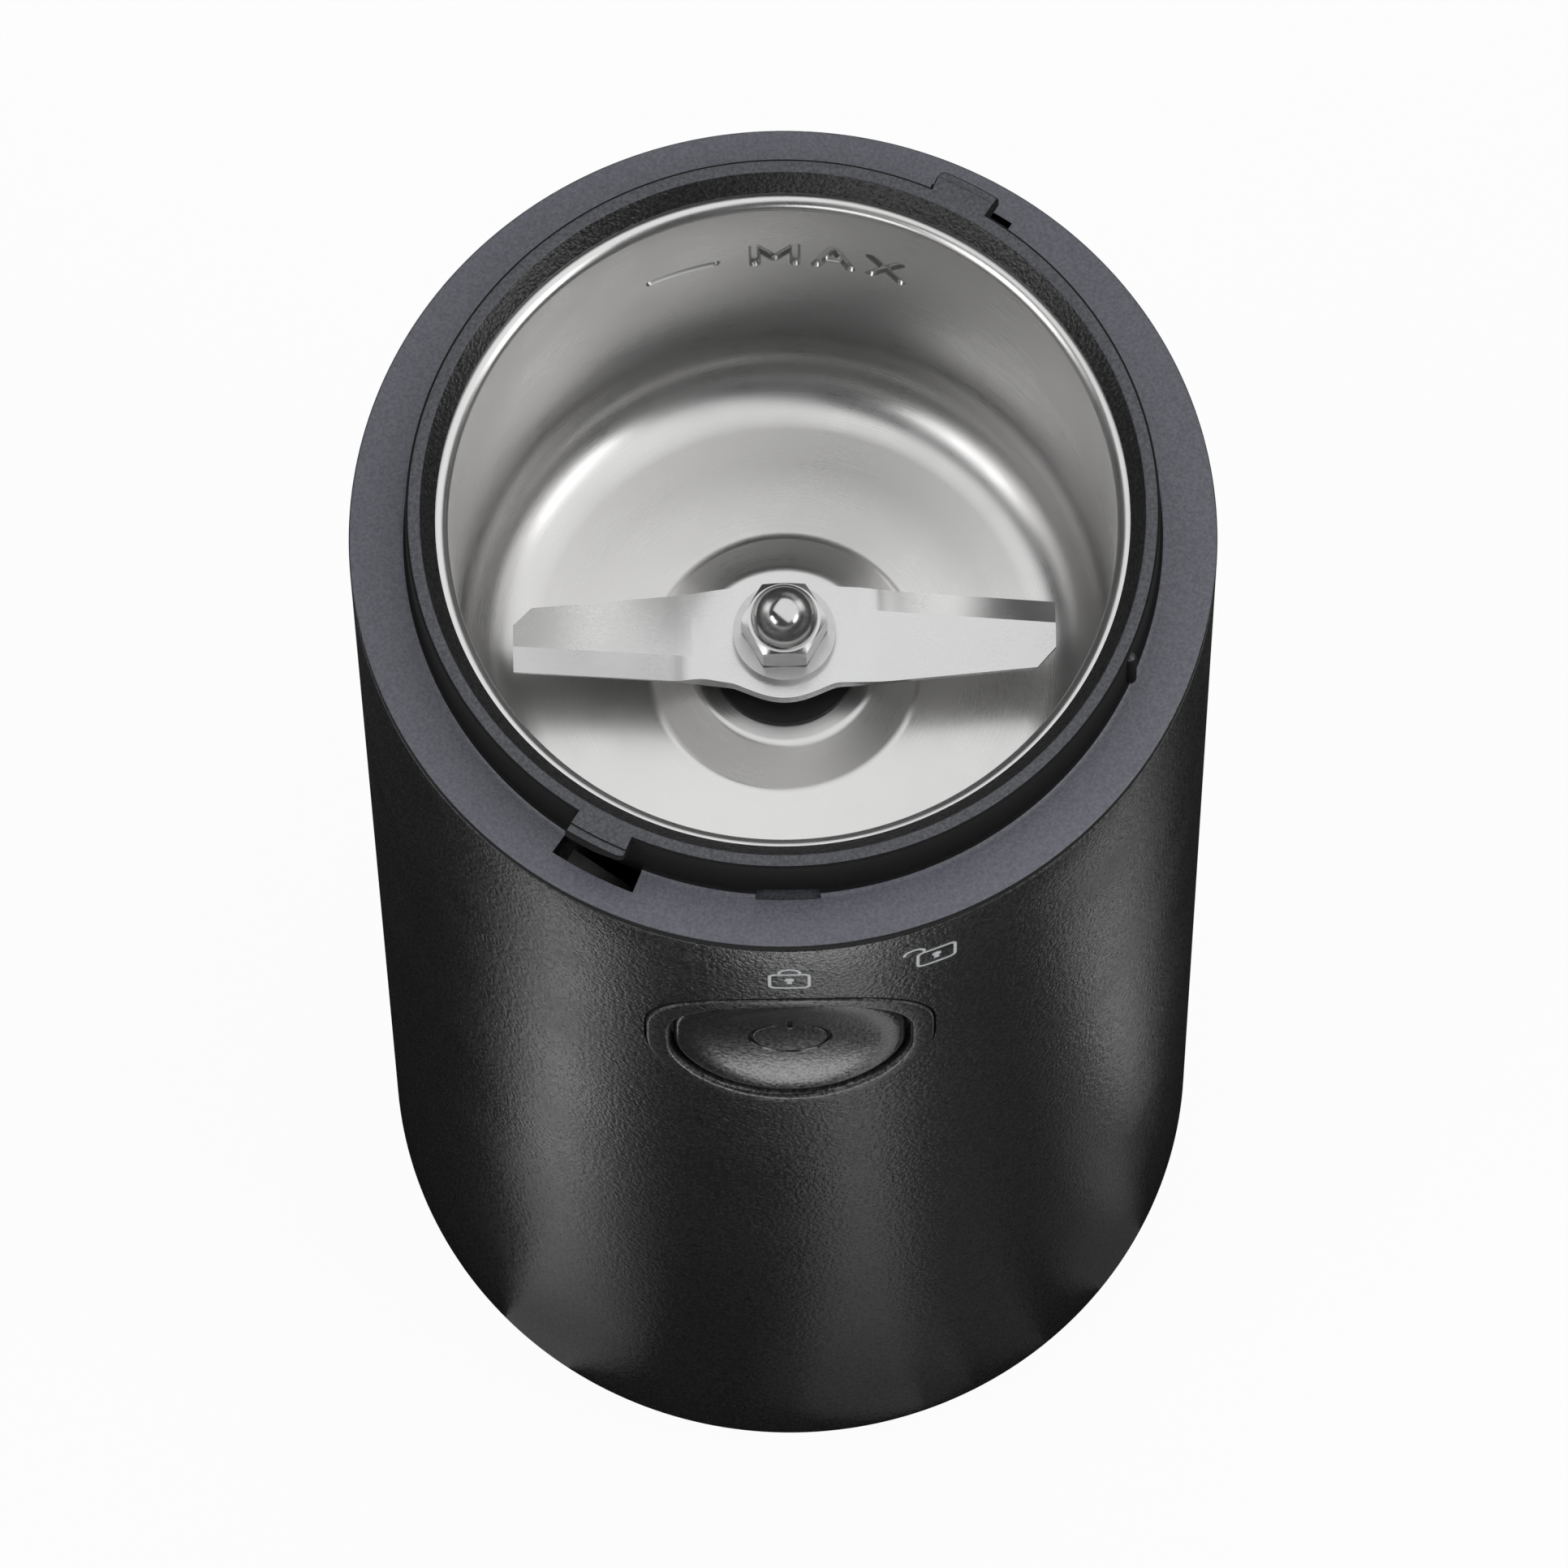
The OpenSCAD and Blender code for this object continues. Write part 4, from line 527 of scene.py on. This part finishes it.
rib = lathe("rib", [(0.0, RIB_LOW), (RIB_R, RIB_LOW), *RIB_END], ROUND[::10])
rib.data.transform(Matrix.Translation(Vector((*spot(COLLAR_R, RIB_ANGLE), 0)) * MM))
join(ring, lug("lug", -LOCK), lug("lug", 180 - LOCK), rib)
fit_out(ring, "housing", "ring", ring_paint, "top_ring")
# Painted shade: the ring's three darker copies become its second, third and fourth paints
for paint in (dark_shade_paint, half_shade_paint, deepest_shade_paint):
    ring.data.materials.append(paint)

# Each face of the ring gets its paint by its place and by how much it faces up: painted shade, a near-black
# copy on steep and low faces, a darker grey copy on the collar top, the lug tops and the step, and the
# darkest copy on the outer side, the brim and the collar's outer wall
ON_DARK_SHADE, ON_HALF_SHADE, ON_DEEPEST_SHADE = 1, 2, 3
STEEP = 0.75
for face in ring.data.polygons:
    x, y, height = face.center / MM
    r = math.hypot(x, y)
    rise = face.normal.z
    side = r > LUG_OUT + 1.0 and height < Z_RING - 0.1
    brim = r > COLLAR_R - 0.4 and height > Z_COLLAR - 0.6 and rise < 0.9
    wall = COLLAR_R - 0.4 < r < LUG_OUT + 1.0 and height > Z_RING - 0.1 and rise < STEEP
    step = r < COLLAR_R + 1.0 and Z_RING - 0.5 < height < Z_RING - 0.2 and rise > STEEP
    if side or brim or wall:
        face.material_index = ON_DEEPEST_SHADE
    elif step:
        face.material_index = ON_HALF_SHADE
    elif rise < STEEP or height < Z_RING - 0.2:
        face.material_index = ON_DARK_SHADE
    elif height > Z_RING + 0.5:
        face.material_index = ON_HALF_SHADE

# Steel cup with the debossed fill mark at the back
CUP_HOLE_R, BOSS_R, BOSS_FOOT_R, BOSS_IN = 6.0, 10.0, 14.5, 0.4
WALL_IN, WALL_LOW, WALL_TOP, CUP_STEP, CUP_SHARP = 34.0, 145.0, 170.0, 4.0, 50.0
MARK_LOW, MARK_HIGH, MARK_BAR, LINE_Z, MARK_DEPTH, MARK_R = 162.7, 167.7, 164.55, 164.5, 0.5, 35.0
MARK = [((-2.6, MARK_LOW), (-2.6, MARK_HIGH)), ((-2.6, MARK_HIGH), (-0.45, 164.1)),
        ((-0.45, 164.1), (1.7, MARK_HIGH)), ((1.7, MARK_HIGH), (1.7, MARK_LOW)),
        ((3.95, MARK_LOW), (5.75, MARK_HIGH)), ((5.75, MARK_HIGH), (7.6, MARK_LOW)),
        ((4.7, MARK_BAR), (6.85, MARK_BAR)),
        ((9.8, MARK_HIGH), (13.1, MARK_LOW)), ((13.1, MARK_HIGH), (9.8, MARK_LOW)),
        ((-14.0, LINE_Z), (-6.9, LINE_Z))]
MARK_LEFT, MARK_RIGHT, MARK_FOOT, MARK_HEAD = -15.5, 14.5, 161.5, 169.0
STROKE_IN, STROKE_OUT = 0.32, 0.56
MARK_ROWS = [169.2 - 0.16 * k for k in range(50)] + [158, 154, 150, 146]


def mark_depth(s, z):
    """Depth of the fill mark at arc length s from the back and height z."""
    if not (MARK_LEFT < s < MARK_RIGHT and MARK_FOOT < z < MARK_HEAD):
        return 0.0
    best = STROKE_OUT
    for (x0, y0), (x1, y1) in MARK:
        dx, dy = x1 - x0, y1 - y0
        t = max(0.0, min(1.0, ((s - x0) * dx + (z - y0) * dy) / (dx * dx + dy * dy)))
        best = min(best, math.hypot(s - x0 - t * dx, z - y0 - t * dy))
    return MARK_DEPTH * (1 - smooth(STROKE_IN, STROKE_OUT, best))


def cup_inside():
    """Inner face of the cup from the flange to the hole in its floor, with close rows at the mark."""
    bare = rounded([
        (FLANGE_R, Z_RIM - SHEET, 0.25), (FLANGE_R, Z_RIM, 0.25), (CUP_R, Z_RIM, 1.2),
        (CUP_LOW_R, Z_FLOOR, 8.0), (BOSS_FOOT_R, Z_FLOOR, 2.0), (BOSS_R, Z_BOSS, 2.0),
        (CUP_HOLE_R, Z_BOSS, 0.2)], 9)
    points = []
    for p, q in zip(bare, bare[1:]):
        points.append(p)
        if min(p[0], q[0]) > WALL_IN and q[1] < WALL_TOP and p[1] > WALL_LOW:
            points += [(p[0] + (q[0] - p[0]) * ((p[1] - z) / (p[1] - q[1])), z)
                       for z in MARK_ROWS if q[1] < z < p[1]]
        else:
            n = max(1, math.ceil(math.dist(p, q) / CUP_STEP))
            points += [(p[0] + (q[0] - p[0]) * k / n, p[1] + (q[1] - p[1]) * k / n) for k in range(1, n)]
    return points + bare[-1:]


def cup_piece():
    """Cup of thin sheet, with the angles close together behind the mark."""
    inner = cup_inside()
    outer = rounded([
        (CUP_HOLE_R, Z_BOSS - SHEET), (BOSS_R - BOSS_IN, Z_BOSS - SHEET, 2.0),
        (BOSS_FOOT_R - BOSS_IN, Z_FLOOR - SHEET, 2.0), (CUP_LOW_R + SHEET, Z_FLOOR - SHEET, 8.8),
        (CUP_R + SHEET, Z_RIM - SHEET, 0.4)], 9)
    angles = [-154.0 + 1.5 * i for i in range(206)] + [155.0 + 0.25 * i for i in range(204)]
    verts = []
    for a in angles:
        s = math.radians(180 - a) * MARK_R
        verts += [(*spot(r + mark_depth(s, z), a), z) for r, z in inner]
        verts += [(*spot(r, a), z) for r, z in outer]
    return make("steel_cup", verts, quads(len(angles), len(inner) + len(outer), True), CUP_SHARP)


fit_out(cup_piece(), "housing", "steel", cup_paint, "grinding_cup")

# Bezel and button
RIM_DEPTH, SLEEVE_DEPTH = 1.5, 4.6
bezel_section = rounded([
    (BORE_R, -SLEEVE_DEPTH), (BORE_R, 0.0, 0.6), (BEZEL_R, 0.0, 0.3), (BEZEL_R, -RIM_DEPTH),
    (SLEEVE_R, -RIM_DEPTH), (SLEEVE_R, -SLEEVE_DEPTH)], 6)
bezel = pill_ring("button_surround", bezel_section, on_bezel)
fit_out(bezel, "housing", "button", bezel_paint, "button_bezel")
# Painted shade: the bezel's outer side faces get the near-black matt paint, a dark outline round it
bezel.data.materials.append(deepest_shade_paint)
for face in bezel.data.polygons:
    x, y, z = face.center / MM
    across = math.hypot(x, max(0.0, abs(z - BTN_Z) - TALL / 2))
    outward = Vector((x, y, 0)).normalized()
    if across > BEZEL_R - 0.15 and abs(face.normal.dot(outward)) < 0.45:
        face.material_index = 1

SIGN_R, SIGN_GAP, BAR_LOW, BAR_HIGH, SIGN_DEPTH = 4.25, 26.0, 2.9, 5.6, 0.38
SIGN_IN, SIGN_OUT, SIGN_REACH, SIGN_SHADE_DEPTH = 0.12, 0.3, 6.2, 0.2
BTN_STEPS, BTN_ROUND, DISH_BLEND, BTN_SHARP = 480, 0.7, 0.35, 40.0
FLANGE_OUT, FLANGE_FRONT, FLANGE_BACK = 13.4, -41.98, -40.98
ARM_HALF, ARM_FRONT, ARM_LOW, ARM_HIGH = 3.5, -42.38, 115.0, 130.0


def symbol_depth(x, v):
    """Depth of the engraved on sign: an open ring and an upright stroke."""
    line = abs(math.hypot(x, v) - SIGN_R)
    if math.degrees(math.atan2(abs(x), v)) < SIGN_GAP:
        gap = math.radians(SIGN_GAP)
        line = math.hypot(abs(x) - SIGN_R * math.sin(gap), v - SIGN_R * math.cos(gap))
    bar = math.hypot(x, max(0.0, BAR_LOW - v, v - BAR_HIGH))
    return SIGN_DEPTH * (1 - smooth(SIGN_IN, SIGN_OUT, min(line, bar)))


def button_y(x, v):
    """Front of the button: its curved face, hollowed by the dish with a soft edge, and the sign in it."""
    face = -math.sqrt(BTN_FACE ** 2 - x * x)
    dish = -BTN_FACE + DISH_DEPTH - (DISH_R - math.sqrt(DISH_R ** 2 - v * v))
    near = max(0.0, DISH_BLEND - abs(face - dish)) / DISH_BLEND
    return max(face, dish) + near * near * DISH_BLEND / 4 + symbol_depth(x, v)


def oval(r, spread):
    """Points around the button at radius r, with the upper and lower halves moved apart by spread."""
    points = []
    for i in range(BTN_STEPS):
        a = 2 * math.pi * i / BTN_STEPS
        x, v = r * math.cos(a), r * math.sin(a)
        if i % (BTN_STEPS // 2) == 0:
            first = -spread if i == 0 else spread
            points += [(x, first), (x, -first)]
        else:
            points.append((x, v + math.copysign(spread, v)))
    return points


def button_piece():
    """Button from its middle outwards, over the rounded edge and back to the flange behind the bezel."""
    radii = [0.4 * i for i in range(6)]
    radii += [2.3 + 0.09 * i for i in range(42)]
    radii += [SIGN_REACH + 0.3 * i for i in range(18)]
    flat_r = BTN_R - BTN_ROUND
    rows = [(r, 0.0) for r in radii if r < flat_r - 0.05]
    rows += [(flat_r + BTN_ROUND * math.sin(t), BTN_ROUND * (1 - math.cos(t)))
             for t in [math.pi / 2 * i / 8 for i in range(9)]]
    verts = []
    for r, edge in rows:
        points = oval(r, smooth(SIGN_REACH, BTN_R - 0.8, r) * TALL / 2)
        verts += [(x, button_y(x, v) + edge, BTN_Z + v) for x, v in points]
    back = [(BTN_R, FLANGE_FRONT), (FLANGE_OUT, FLANGE_FRONT), (FLANGE_OUT, FLANGE_BACK)]
    for r, y in back:
        verts += [(x, y, BTN_Z + v) for x, v in oval(r, TALL / 2)]
    total, count = len(rows) + len(back), BTN_STEPS + 2
    return make("thumb_button", verts, quads(total, count) + [cap(total - 1, count)], BTN_SHARP)


button = button_piece()
join(button, box_piece("arm", (-ARM_HALF, ARM_FRONT, ARM_LOW), (ARM_HALF, FLANGE_BACK, ARM_HIGH)))
fit_out(button, "button", "button", button_paint, "power_button")
# Painted shade: the deeper part of the engraved on sign gets the near-black matt paint
button.data.materials.append(deepest_shade_paint)
for face in button.data.polygons:
    x, y, z = face.center / MM
    if y < FLANGE_FRONT - 0.4 and symbol_depth(x, z - BTN_Z) > SIGN_SHADE_DEPTH:
        face.material_index = 1

# Blade and its cap nut
Z_BLADE, BLADE_T, BLADE_TIP, HUB_R, STUD_R = 141.5, 1.6, 29.0, 7.1, 2.55
ROOT_HALF, TIP_HALF, ROOT_X, PITCH, GRIND = 5.5, 3.5, 4.5, 12.0, 2.4
WING_X, GRIND_X, GRIND_SHARE, TIP_CORNER = 12.0, 8.0, 0.85, 2.0
FILLET, FILLET_SWELL, STATIONS, BLADE_SHARP = 1.4, 0.35, 116, 14.0
Z_NUT, NUT_FLAT, NUT_H, DOME_R = 144.3, 4.0, 4.2, 3.6
NUT_STEPS, DOME_STEPS, LAND_SHARE, CHAMFER, NUT_SHARP = 144, 14, 0.97, 30.0, 24.0


def blade_piece():
    """One strip that twists from wing to wing through a round hub, ground sharp on its leading edges."""
    flat = BLADE_T / 2
    verts = []
    for i in range(STATIONS + 1):
        x = -BLADE_TIP + 2 * BLADE_TIP * i / STATIONS
        reach = abs(x)
        side = 1 if x >= 0 else -1
        wing = ROOT_HALF - (ROOT_HALF - TIP_HALF) * max(0.0, reach - ROOT_X) / (BLADE_TIP - ROOT_X)
        hub = math.sqrt(max(0.0, HUB_R ** 2 - reach ** 2))
        blend = max(0.0, FILLET - abs(wing - hub)) / FILLET
        lead = max(wing, hub) + FILLET_SWELL * blend * blend
        trail = lead - max(0.0, reach - BLADE_TIP + TIP_CORNER)
        pitch = side * math.radians(PITCH) * smooth(ROOT_X, WING_X, reach)
        edge = flat - GRIND_SHARE * BLADE_T * smooth(GRIND_X, WING_X, reach)
        plus, minus = (lead, trail) if side > 0 else (trail, lead)
        plus_top, minus_top = (edge, flat) if side > 0 else (flat, edge)
        section = [(-minus, -flat), (plus, -flat), (plus, plus_top), (plus - GRIND, flat),
                   (GRIND - minus, flat), (-minus, minus_top)]
        verts += [(x, y * math.cos(pitch) - z * math.sin(pitch),
                   Z_BLADE + flat + y * math.sin(pitch) + z * math.cos(pitch)) for y, z in section]
    n = len(section)
    faces = quads(STATIONS + 1, n) + [cap(0, n), cap(STATIONS, n)]
    obj = make("two_wing_blade", verts, faces, BLADE_SHARP)
    turns = [math.pi * k / 24 for k in range(48)]
    hole = [(STUD_R * math.cos(t), STUD_R * math.sin(t)) for t in turns]
    cut(obj, prism("hole", hole, Z_BLADE - 2, Z_BLADE + 4, upright), BLADE_SHARP)
    return obj


def nut_piece():
    """Hexagon nut with turned corners and a domed cap."""
    flank = math.tan(math.radians(CHAMFER))
    land = NUT_FLAT * LAND_SHARE
    dome = [math.pi / 2 * k / DOME_STEPS for k in range(DOME_STEPS)]
    verts = []
    for i in range(NUT_STEPS):
        a = 2 * math.pi * i / NUT_STEPS
        corner = NUT_FLAT / math.cos((a % (math.pi / 3)) - math.pi / 6)
        drop = (corner - land) * flank
        rows = [(STUD_R, 0.0), (land, 0.0), (corner, drop), (corner, NUT_H - drop), (land, NUT_H)]
        rows += [(DOME_R * math.cos(t), NUT_H + DOME_R * math.sin(t)) for t in dome]
        verts += [(r * math.cos(a), r * math.sin(a), Z_NUT + z) for r, z in rows]
    n = len(rows)
    faces = [(i * n + j, (i + 1) % NUT_STEPS * n + j, (i + 1) % NUT_STEPS * n + j + 1, i * n + j + 1)
             for i in range(NUT_STEPS) for j in range(n - 1)]
    faces += [tuple(i * n + k for i in range(NUT_STEPS)) for k in (0, n - 1)]
    return make("cap_nut", verts, faces, NUT_SHARP)


fit_out(blade_piece(), "rotor", "blade_steel", blade_paint, "blade")
fit_out(nut_piece(), "rotor", "blade_steel", nut_paint, "blade_nut")

# Base screws
Z_HEAD, HEAD_H, Z_SCREW_END, HEAD_R, SHANK_R, SCREW_PITCH_R = 3.2, 1.7, 18.2, 2.8, 1.45, 37.45
RECESS_L, RECESS_W, RECESS_DEPTH, RECESS_TURN = 1.6, 0.4, 1.1, 35.0


def screw_pieces():
    """Three screws with rounded heads and cross recesses, in the bores of the base plate."""
    outline = rounded([
        (0.0, Z_HEAD), (HEAD_R, Z_HEAD, 0.7), (HEAD_R, Z_HEAD + HEAD_H, 0.15),
        (SHANK_R, Z_HEAD + HEAD_H), (SHANK_R, Z_SCREW_END, 0.3), (0.0, Z_SCREW_END)])
    screws = []
    for angle in (0.0, 120.0, 240.0):
        screw = lathe("base_screw", outline, ROUND[::5])
        for turn in (RECESS_TURN, RECESS_TURN + 90.0):
            arm = box_piece("recess", (-RECESS_L, -RECESS_W, Z_HEAD - 0.5),
                            (RECESS_L, RECESS_W, Z_HEAD + RECESS_DEPTH))
            arm.data.transform(Matrix.Rotation(math.radians(turn), 4, "Z"))
            cut(screw, arm)
        x, y = spot(SCREW_PITCH_R, angle)
        screw.data.transform(Matrix.Translation((x * MM, y * MM, 0)))
        screws.append(screw)
    join(*screws)
    return screws[0]


base_screws = screw_pieces()
base_screws.name = "cross_head_screws"
fit_out(base_screws, "housing", "screw_steel", screw_paint, "base_screws")

# Padlock signs printed on the body
LOCK_HALF, LOCK_LOW, LOCK_H, LOCK_CORNER, LINE_W, LINE_STEP = 2.1, 0.17, 4.5, 0.7, 0.36, 0.4
KEY_Z, KEY_R, TAIL_TOP, TAIL_LOW, TAIL_TOP_W, TAIL_LOW_W = 2.75, 0.52, 2.5, 1.5, 0.24, 0.3
BOW_Z, BOW_RISE, BOW_R, BOW_W, BOW_SWING, BOW_GAP = 4.55, 0.55, 1.1, 0.34, 2.5, 0.3
INK_OUT, INK_T = 0.025, 0.08


def stroke(points, width, closed):
    """Flat ribbon along points in (arc, height) millimetres."""
    n = len(points)
    left, right = [], []
    for i, p in enumerate(points):
        a = points[i - 1] if closed or i else points[0]
        b = points[(i + 1) % n] if closed or i + 1 < n else points[-1]
        t = (Vector(b) - Vector(a)).normalized()
        side = Vector((-t.y, t.x)) * width / 2
        left.append(Vector(p) + side)
        right.append(Vector(p) - side)
    faces = [(i, (i + 1) % n, n + (i + 1) % n, n + i) for i in range(n if closed else n - 1)]
    return left + right, faces


def arc_points(cx, cz, r, a0, a1, steps=20):
    turns = [math.radians(a0 + (a1 - a0) * i / steps) for i in range(steps + 1)]
    return [(cx + r * math.cos(t), cz + r * math.sin(t)) for t in turns]


def padlock(name, angle, bottom, swung):
    """Padlock sign around angle on the body, with its bow closed, or swung to the left."""
    low, high = bottom + LOCK_LOW, bottom + LOCK_H
    case = rounded([(-LOCK_HALF, low, LOCK_CORNER), (LOCK_HALF, low, LOCK_CORNER),
                    (LOCK_HALF, high, LOCK_CORNER), (-LOCK_HALF, high, LOCK_CORNER)], 8)
    key = arc_points(0, bottom + KEY_Z, KEY_R, -60, 240)
    tail = [(-TAIL_TOP_W, bottom + TAIL_TOP), (TAIL_TOP_W, bottom + TAIL_TOP),
            (TAIL_LOW_W, bottom + TAIL_LOW), (-TAIL_LOW_W, bottom + TAIL_LOW)]
    top = bottom + BOW_Z
    middle = -BOW_SWING if swung else 0.0
    bow = [(middle + BOW_R, top), *arc_points(middle, top + BOW_RISE, BOW_R, 0, 180),
           (middle - BOW_R, top + BOW_GAP if swung else top)]
    shapes = [stroke(split(case, LINE_STEP), LINE_W, True), (key, [cap(0, len(key))]),
              (tail, [cap(0, len(tail))]), stroke(bow, BOW_W, False)]
    verts, faces = [], []
    for points, polygons in shapes:
        base = len(verts)
        for s, z in points:
            a = angle + math.degrees(s / body_r(z))
            verts.append((*spot(body_r(z) + INK_OUT, a), z))
        faces += [tuple(base + k for k in f) for f in polygons]
    obj = make(name, verts, faces)
    step = obj.modifiers.new("ink", "SOLIDIFY")
    step.thickness = INK_T * MM
    step.offset = 0.0
    fit_out(obj, "housing", "shell", icon_paint)


padlock("closed_padlock_sign", 0.0, 160.3, False)
padlock("open_padlock_sign", 19.9, 160.4, True)


def shorten(name):
    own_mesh(nodes[name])


shorten("button_spring")
shorten("interlock_spring")

# Stage
FLOOR_SIZE, FLOOR_Z, FLOOR_GLOW = 6.0, -0.05, 0.95
# Painted shadow on the floor: inside the first radius its glow is off, and it comes back by the second
PAINTED_SHADOW_R, PAINTED_SHADOW_FADE_R = 40.5, 42.5
CARD_IN, CARD_OUT, CARD_Z, CARD_T = 40.0, 190.0, 0.3, 0.2


def ground_material():
    """White to the camera, metal and glass, with the object's shadow, and a pale matt floor to other light.

    The spot that the body covers is a painted shadow, dark to the camera, and from below the floor is clear,
    so that the base shows.
    """
    p = Paint("pale_floor")
    p.tree.nodes.remove(p.shader)
    rays = p.add("ShaderNodeLightPath").outputs
    reach = p.add("ShaderNodeVectorMath", {0: p.where}, operation="LENGTH").outputs["Value"]
    # Painted shadow: the floor's glow fades out inside the spot under the body
    outside_painted_shadow = p.span(reach, 0.0, 1.0, PAINTED_SHADOW_R * MM, PAINTED_SHADOW_FADE_R * MM)
    strength = p.math("MAXIMUM", outside_painted_shadow, rays["Is Glossy Ray"])
    glow = p.add("ShaderNodeEmission", {"Strength": strength}).outputs[0]
    pale = p.add("ShaderNodeBsdfDiffuse", {"Color": (0.8, 0.8, 0.8, 1)}).outputs[0]
    clear = p.add("ShaderNodeBsdfTransparent").outputs[0]
    direct = rays["Is Camera Ray"]
    for kind in ("Is Glossy Ray", "Is Transmission Ray"):
        direct = p.math("MAXIMUM", direct, rays[kind])
    below = p.add("ShaderNodeNewGeometry").outputs["Backfacing"]
    seen = p.add("ShaderNodeMixShader", {0: FLOOR_GLOW, 1: pale, 2: glow}).outputs[0]
    above = p.add("ShaderNodeMixShader", {0: direct, 1: pale, 2: seen}).outputs[0]
    both = p.add("ShaderNodeMixShader", {0: below, 1: above, 2: clear}).outputs[0]
    p.put(p.tree.nodes["Material Output"].inputs["Surface"], both)
    return p.material


bpy.ops.mesh.primitive_plane_add(size=FLOOR_SIZE, location=(0, 0, FLOOR_Z * MM))
floor = bpy.context.object
floor.name = "floor"
floor.data.materials.append(ground_material())

# Black ring round the foot that only reflections see, not the camera, diffuse light or shadows: a painted
# dark reflection for shade on the floor beside it, so that the dark body doesn't mirror the white floor there
dark_reflection_card = lathe("dark_reflection_card", [(CARD_IN, CARD_Z), (CARD_OUT, CARD_Z), (CARD_OUT, CARD_Z + CARD_T),
                                  (CARD_IN, CARD_Z + CARD_T)], ROUND)
dark_reflection_paint = moulded("dark_reflection_card", (0.004, 0.004, 0.004), rough=0.9, grain=500.0, depth=0.1)
dark_reflection_card.data.materials.append(dark_reflection_paint)
dark_reflection_card.visible_camera = False
dark_reflection_card.visible_diffuse = False
dark_reflection_card.visible_shadow = False

world = bpy.data.worlds.new("studio")
bpy.context.scene.world = world
world.use_nodes = True
background = world.node_tree.nodes["Background"]
background.inputs["Color"].default_value = (0.9, 0.92, 0.95, 1)
background.inputs["Strength"].default_value = 0.08


def lamp(name, place, target, width, tall, power):
    """Area light at place that faces target, in metres and watts."""
    data = bpy.data.lights.new(name, "AREA")
    data.shape = "RECTANGLE"
    data.size = width
    data.size_y = tall
    data.energy = power
    obj = bpy.data.objects.new(name, data)
    bpy.context.scene.collection.objects.link(obj)
    obj.location = place
    obj.rotation_euler = (Vector(target) - Vector(place)).to_track_quat("-Z", "Y").to_euler()
    obj.visible_camera = False
    return obj


def card(name, angle, near, far, width, glow, height=3.0):
    """Low light card on the floor beside the object, along the way that its side mirrors."""
    start, way = Vector(spot(CARD_FROM, angle)), Vector(spot(1.0, 2 * angle))
    place = Vector((*(start + way * (near + far) / 2), height)) * MM
    power = glow * math.pi * width * (far - near) * MM * MM
    obj = lamp(name, place, place + Vector((0, 0, 1)), width * MM, (far - near) * MM, power)
    obj.rotation_euler = (math.pi, 0, math.radians(2 * angle))


# Name, place, target, width, height and watts
SOFTBOXES = [
    ("top_softbox", (0.2, 0.22, 1.2), (0, 0, 0.16), 1.8, 1.5, 10.0),
    ("left_softbox", (-0.85, -0.5, 0.75), (0, 0, 0.1), 0.6, 0.8, 4.5),
    ("right_softbox", (0.85, -0.4, 0.65), (0, 0, 0.1), 0.5, 0.8, 4.0),
    ("front_softbox", (-0.4, -1.25, 0.5), (0, 0, 0.15), 0.7, 0.45, 2.5),
]
for softbox in SOFTBOXES:
    lamp(*softbox)

# Name, angle, nearest and farthest distance from the body, width, glow, and height over the floor
CARD_FROM, LEFT, MIDDLE, FILL, RIGHT, FRONT = 44.5, -33.0, 9.5, 25.0, 50.0, 2.5
CARDS = [
    ("left_foot_card", LEFT, 0.3, 11.0, 20.0, 0.18),
    ("left_low_card", LEFT, 11.0, 28.0, 18.0, 0.42),
    ("left_card", LEFT, 28.0, 100.0, 20.0, 1.25),
    ("middle_foot_card", MIDDLE, 0.3, 11.0, 28.0, 0.045, 2.7),
    ("middle_core_card", MIDDLE, 0.3, 11.0, 15.0, 0.06),
    ("middle_low_card", MIDDLE, 11.0, 28.0, 18.0, 0.22),
    ("middle_card", MIDDLE, 28.0, 90.0, 20.0, 0.48),
    ("fill_card", FILL, 3.0, 90.0, 22.0, 0.04, 2.4),
    ("right_foot_card", RIGHT, 0.3, 11.0, 14.0, 0.07),
    ("right_low_card", RIGHT, 11.0, 28.0, 12.0, 0.2),
    ("right_card", RIGHT, 28.0, 90.0, 14.0, 1.1),
    ("front_card", FRONT, 79.0, 260.0, 62.0, 2.7),
]
for values in CARDS:
    card(*values)

# Camera at the photograph's place and viewing angle
EYE, TILT, ROLL = (-0.00027, -1.0636, 3.1138), 19.41, -0.82
SENSOR, LENS, FARTHEST = 36.0, 678.0, 20.0
camera_data = bpy.data.cameras.new("camera")
camera_data.sensor_width = SENSOR
camera_data.lens = LENS
camera_data.clip_end = FARTHEST
camera = bpy.data.objects.new("camera", camera_data)
bpy.context.scene.collection.objects.link(camera)
camera.matrix_world = (Matrix.Translation(EYE)
                       @ Matrix.Rotation(math.radians(TILT), 4, "X")
                       @ Matrix.Rotation(math.radians(ROLL), 4, "Z"))
bpy.context.scene.camera = camera
bpy.context.scene.view_settings.view_transform = "Standard"

bpy.context.view_layer.update()
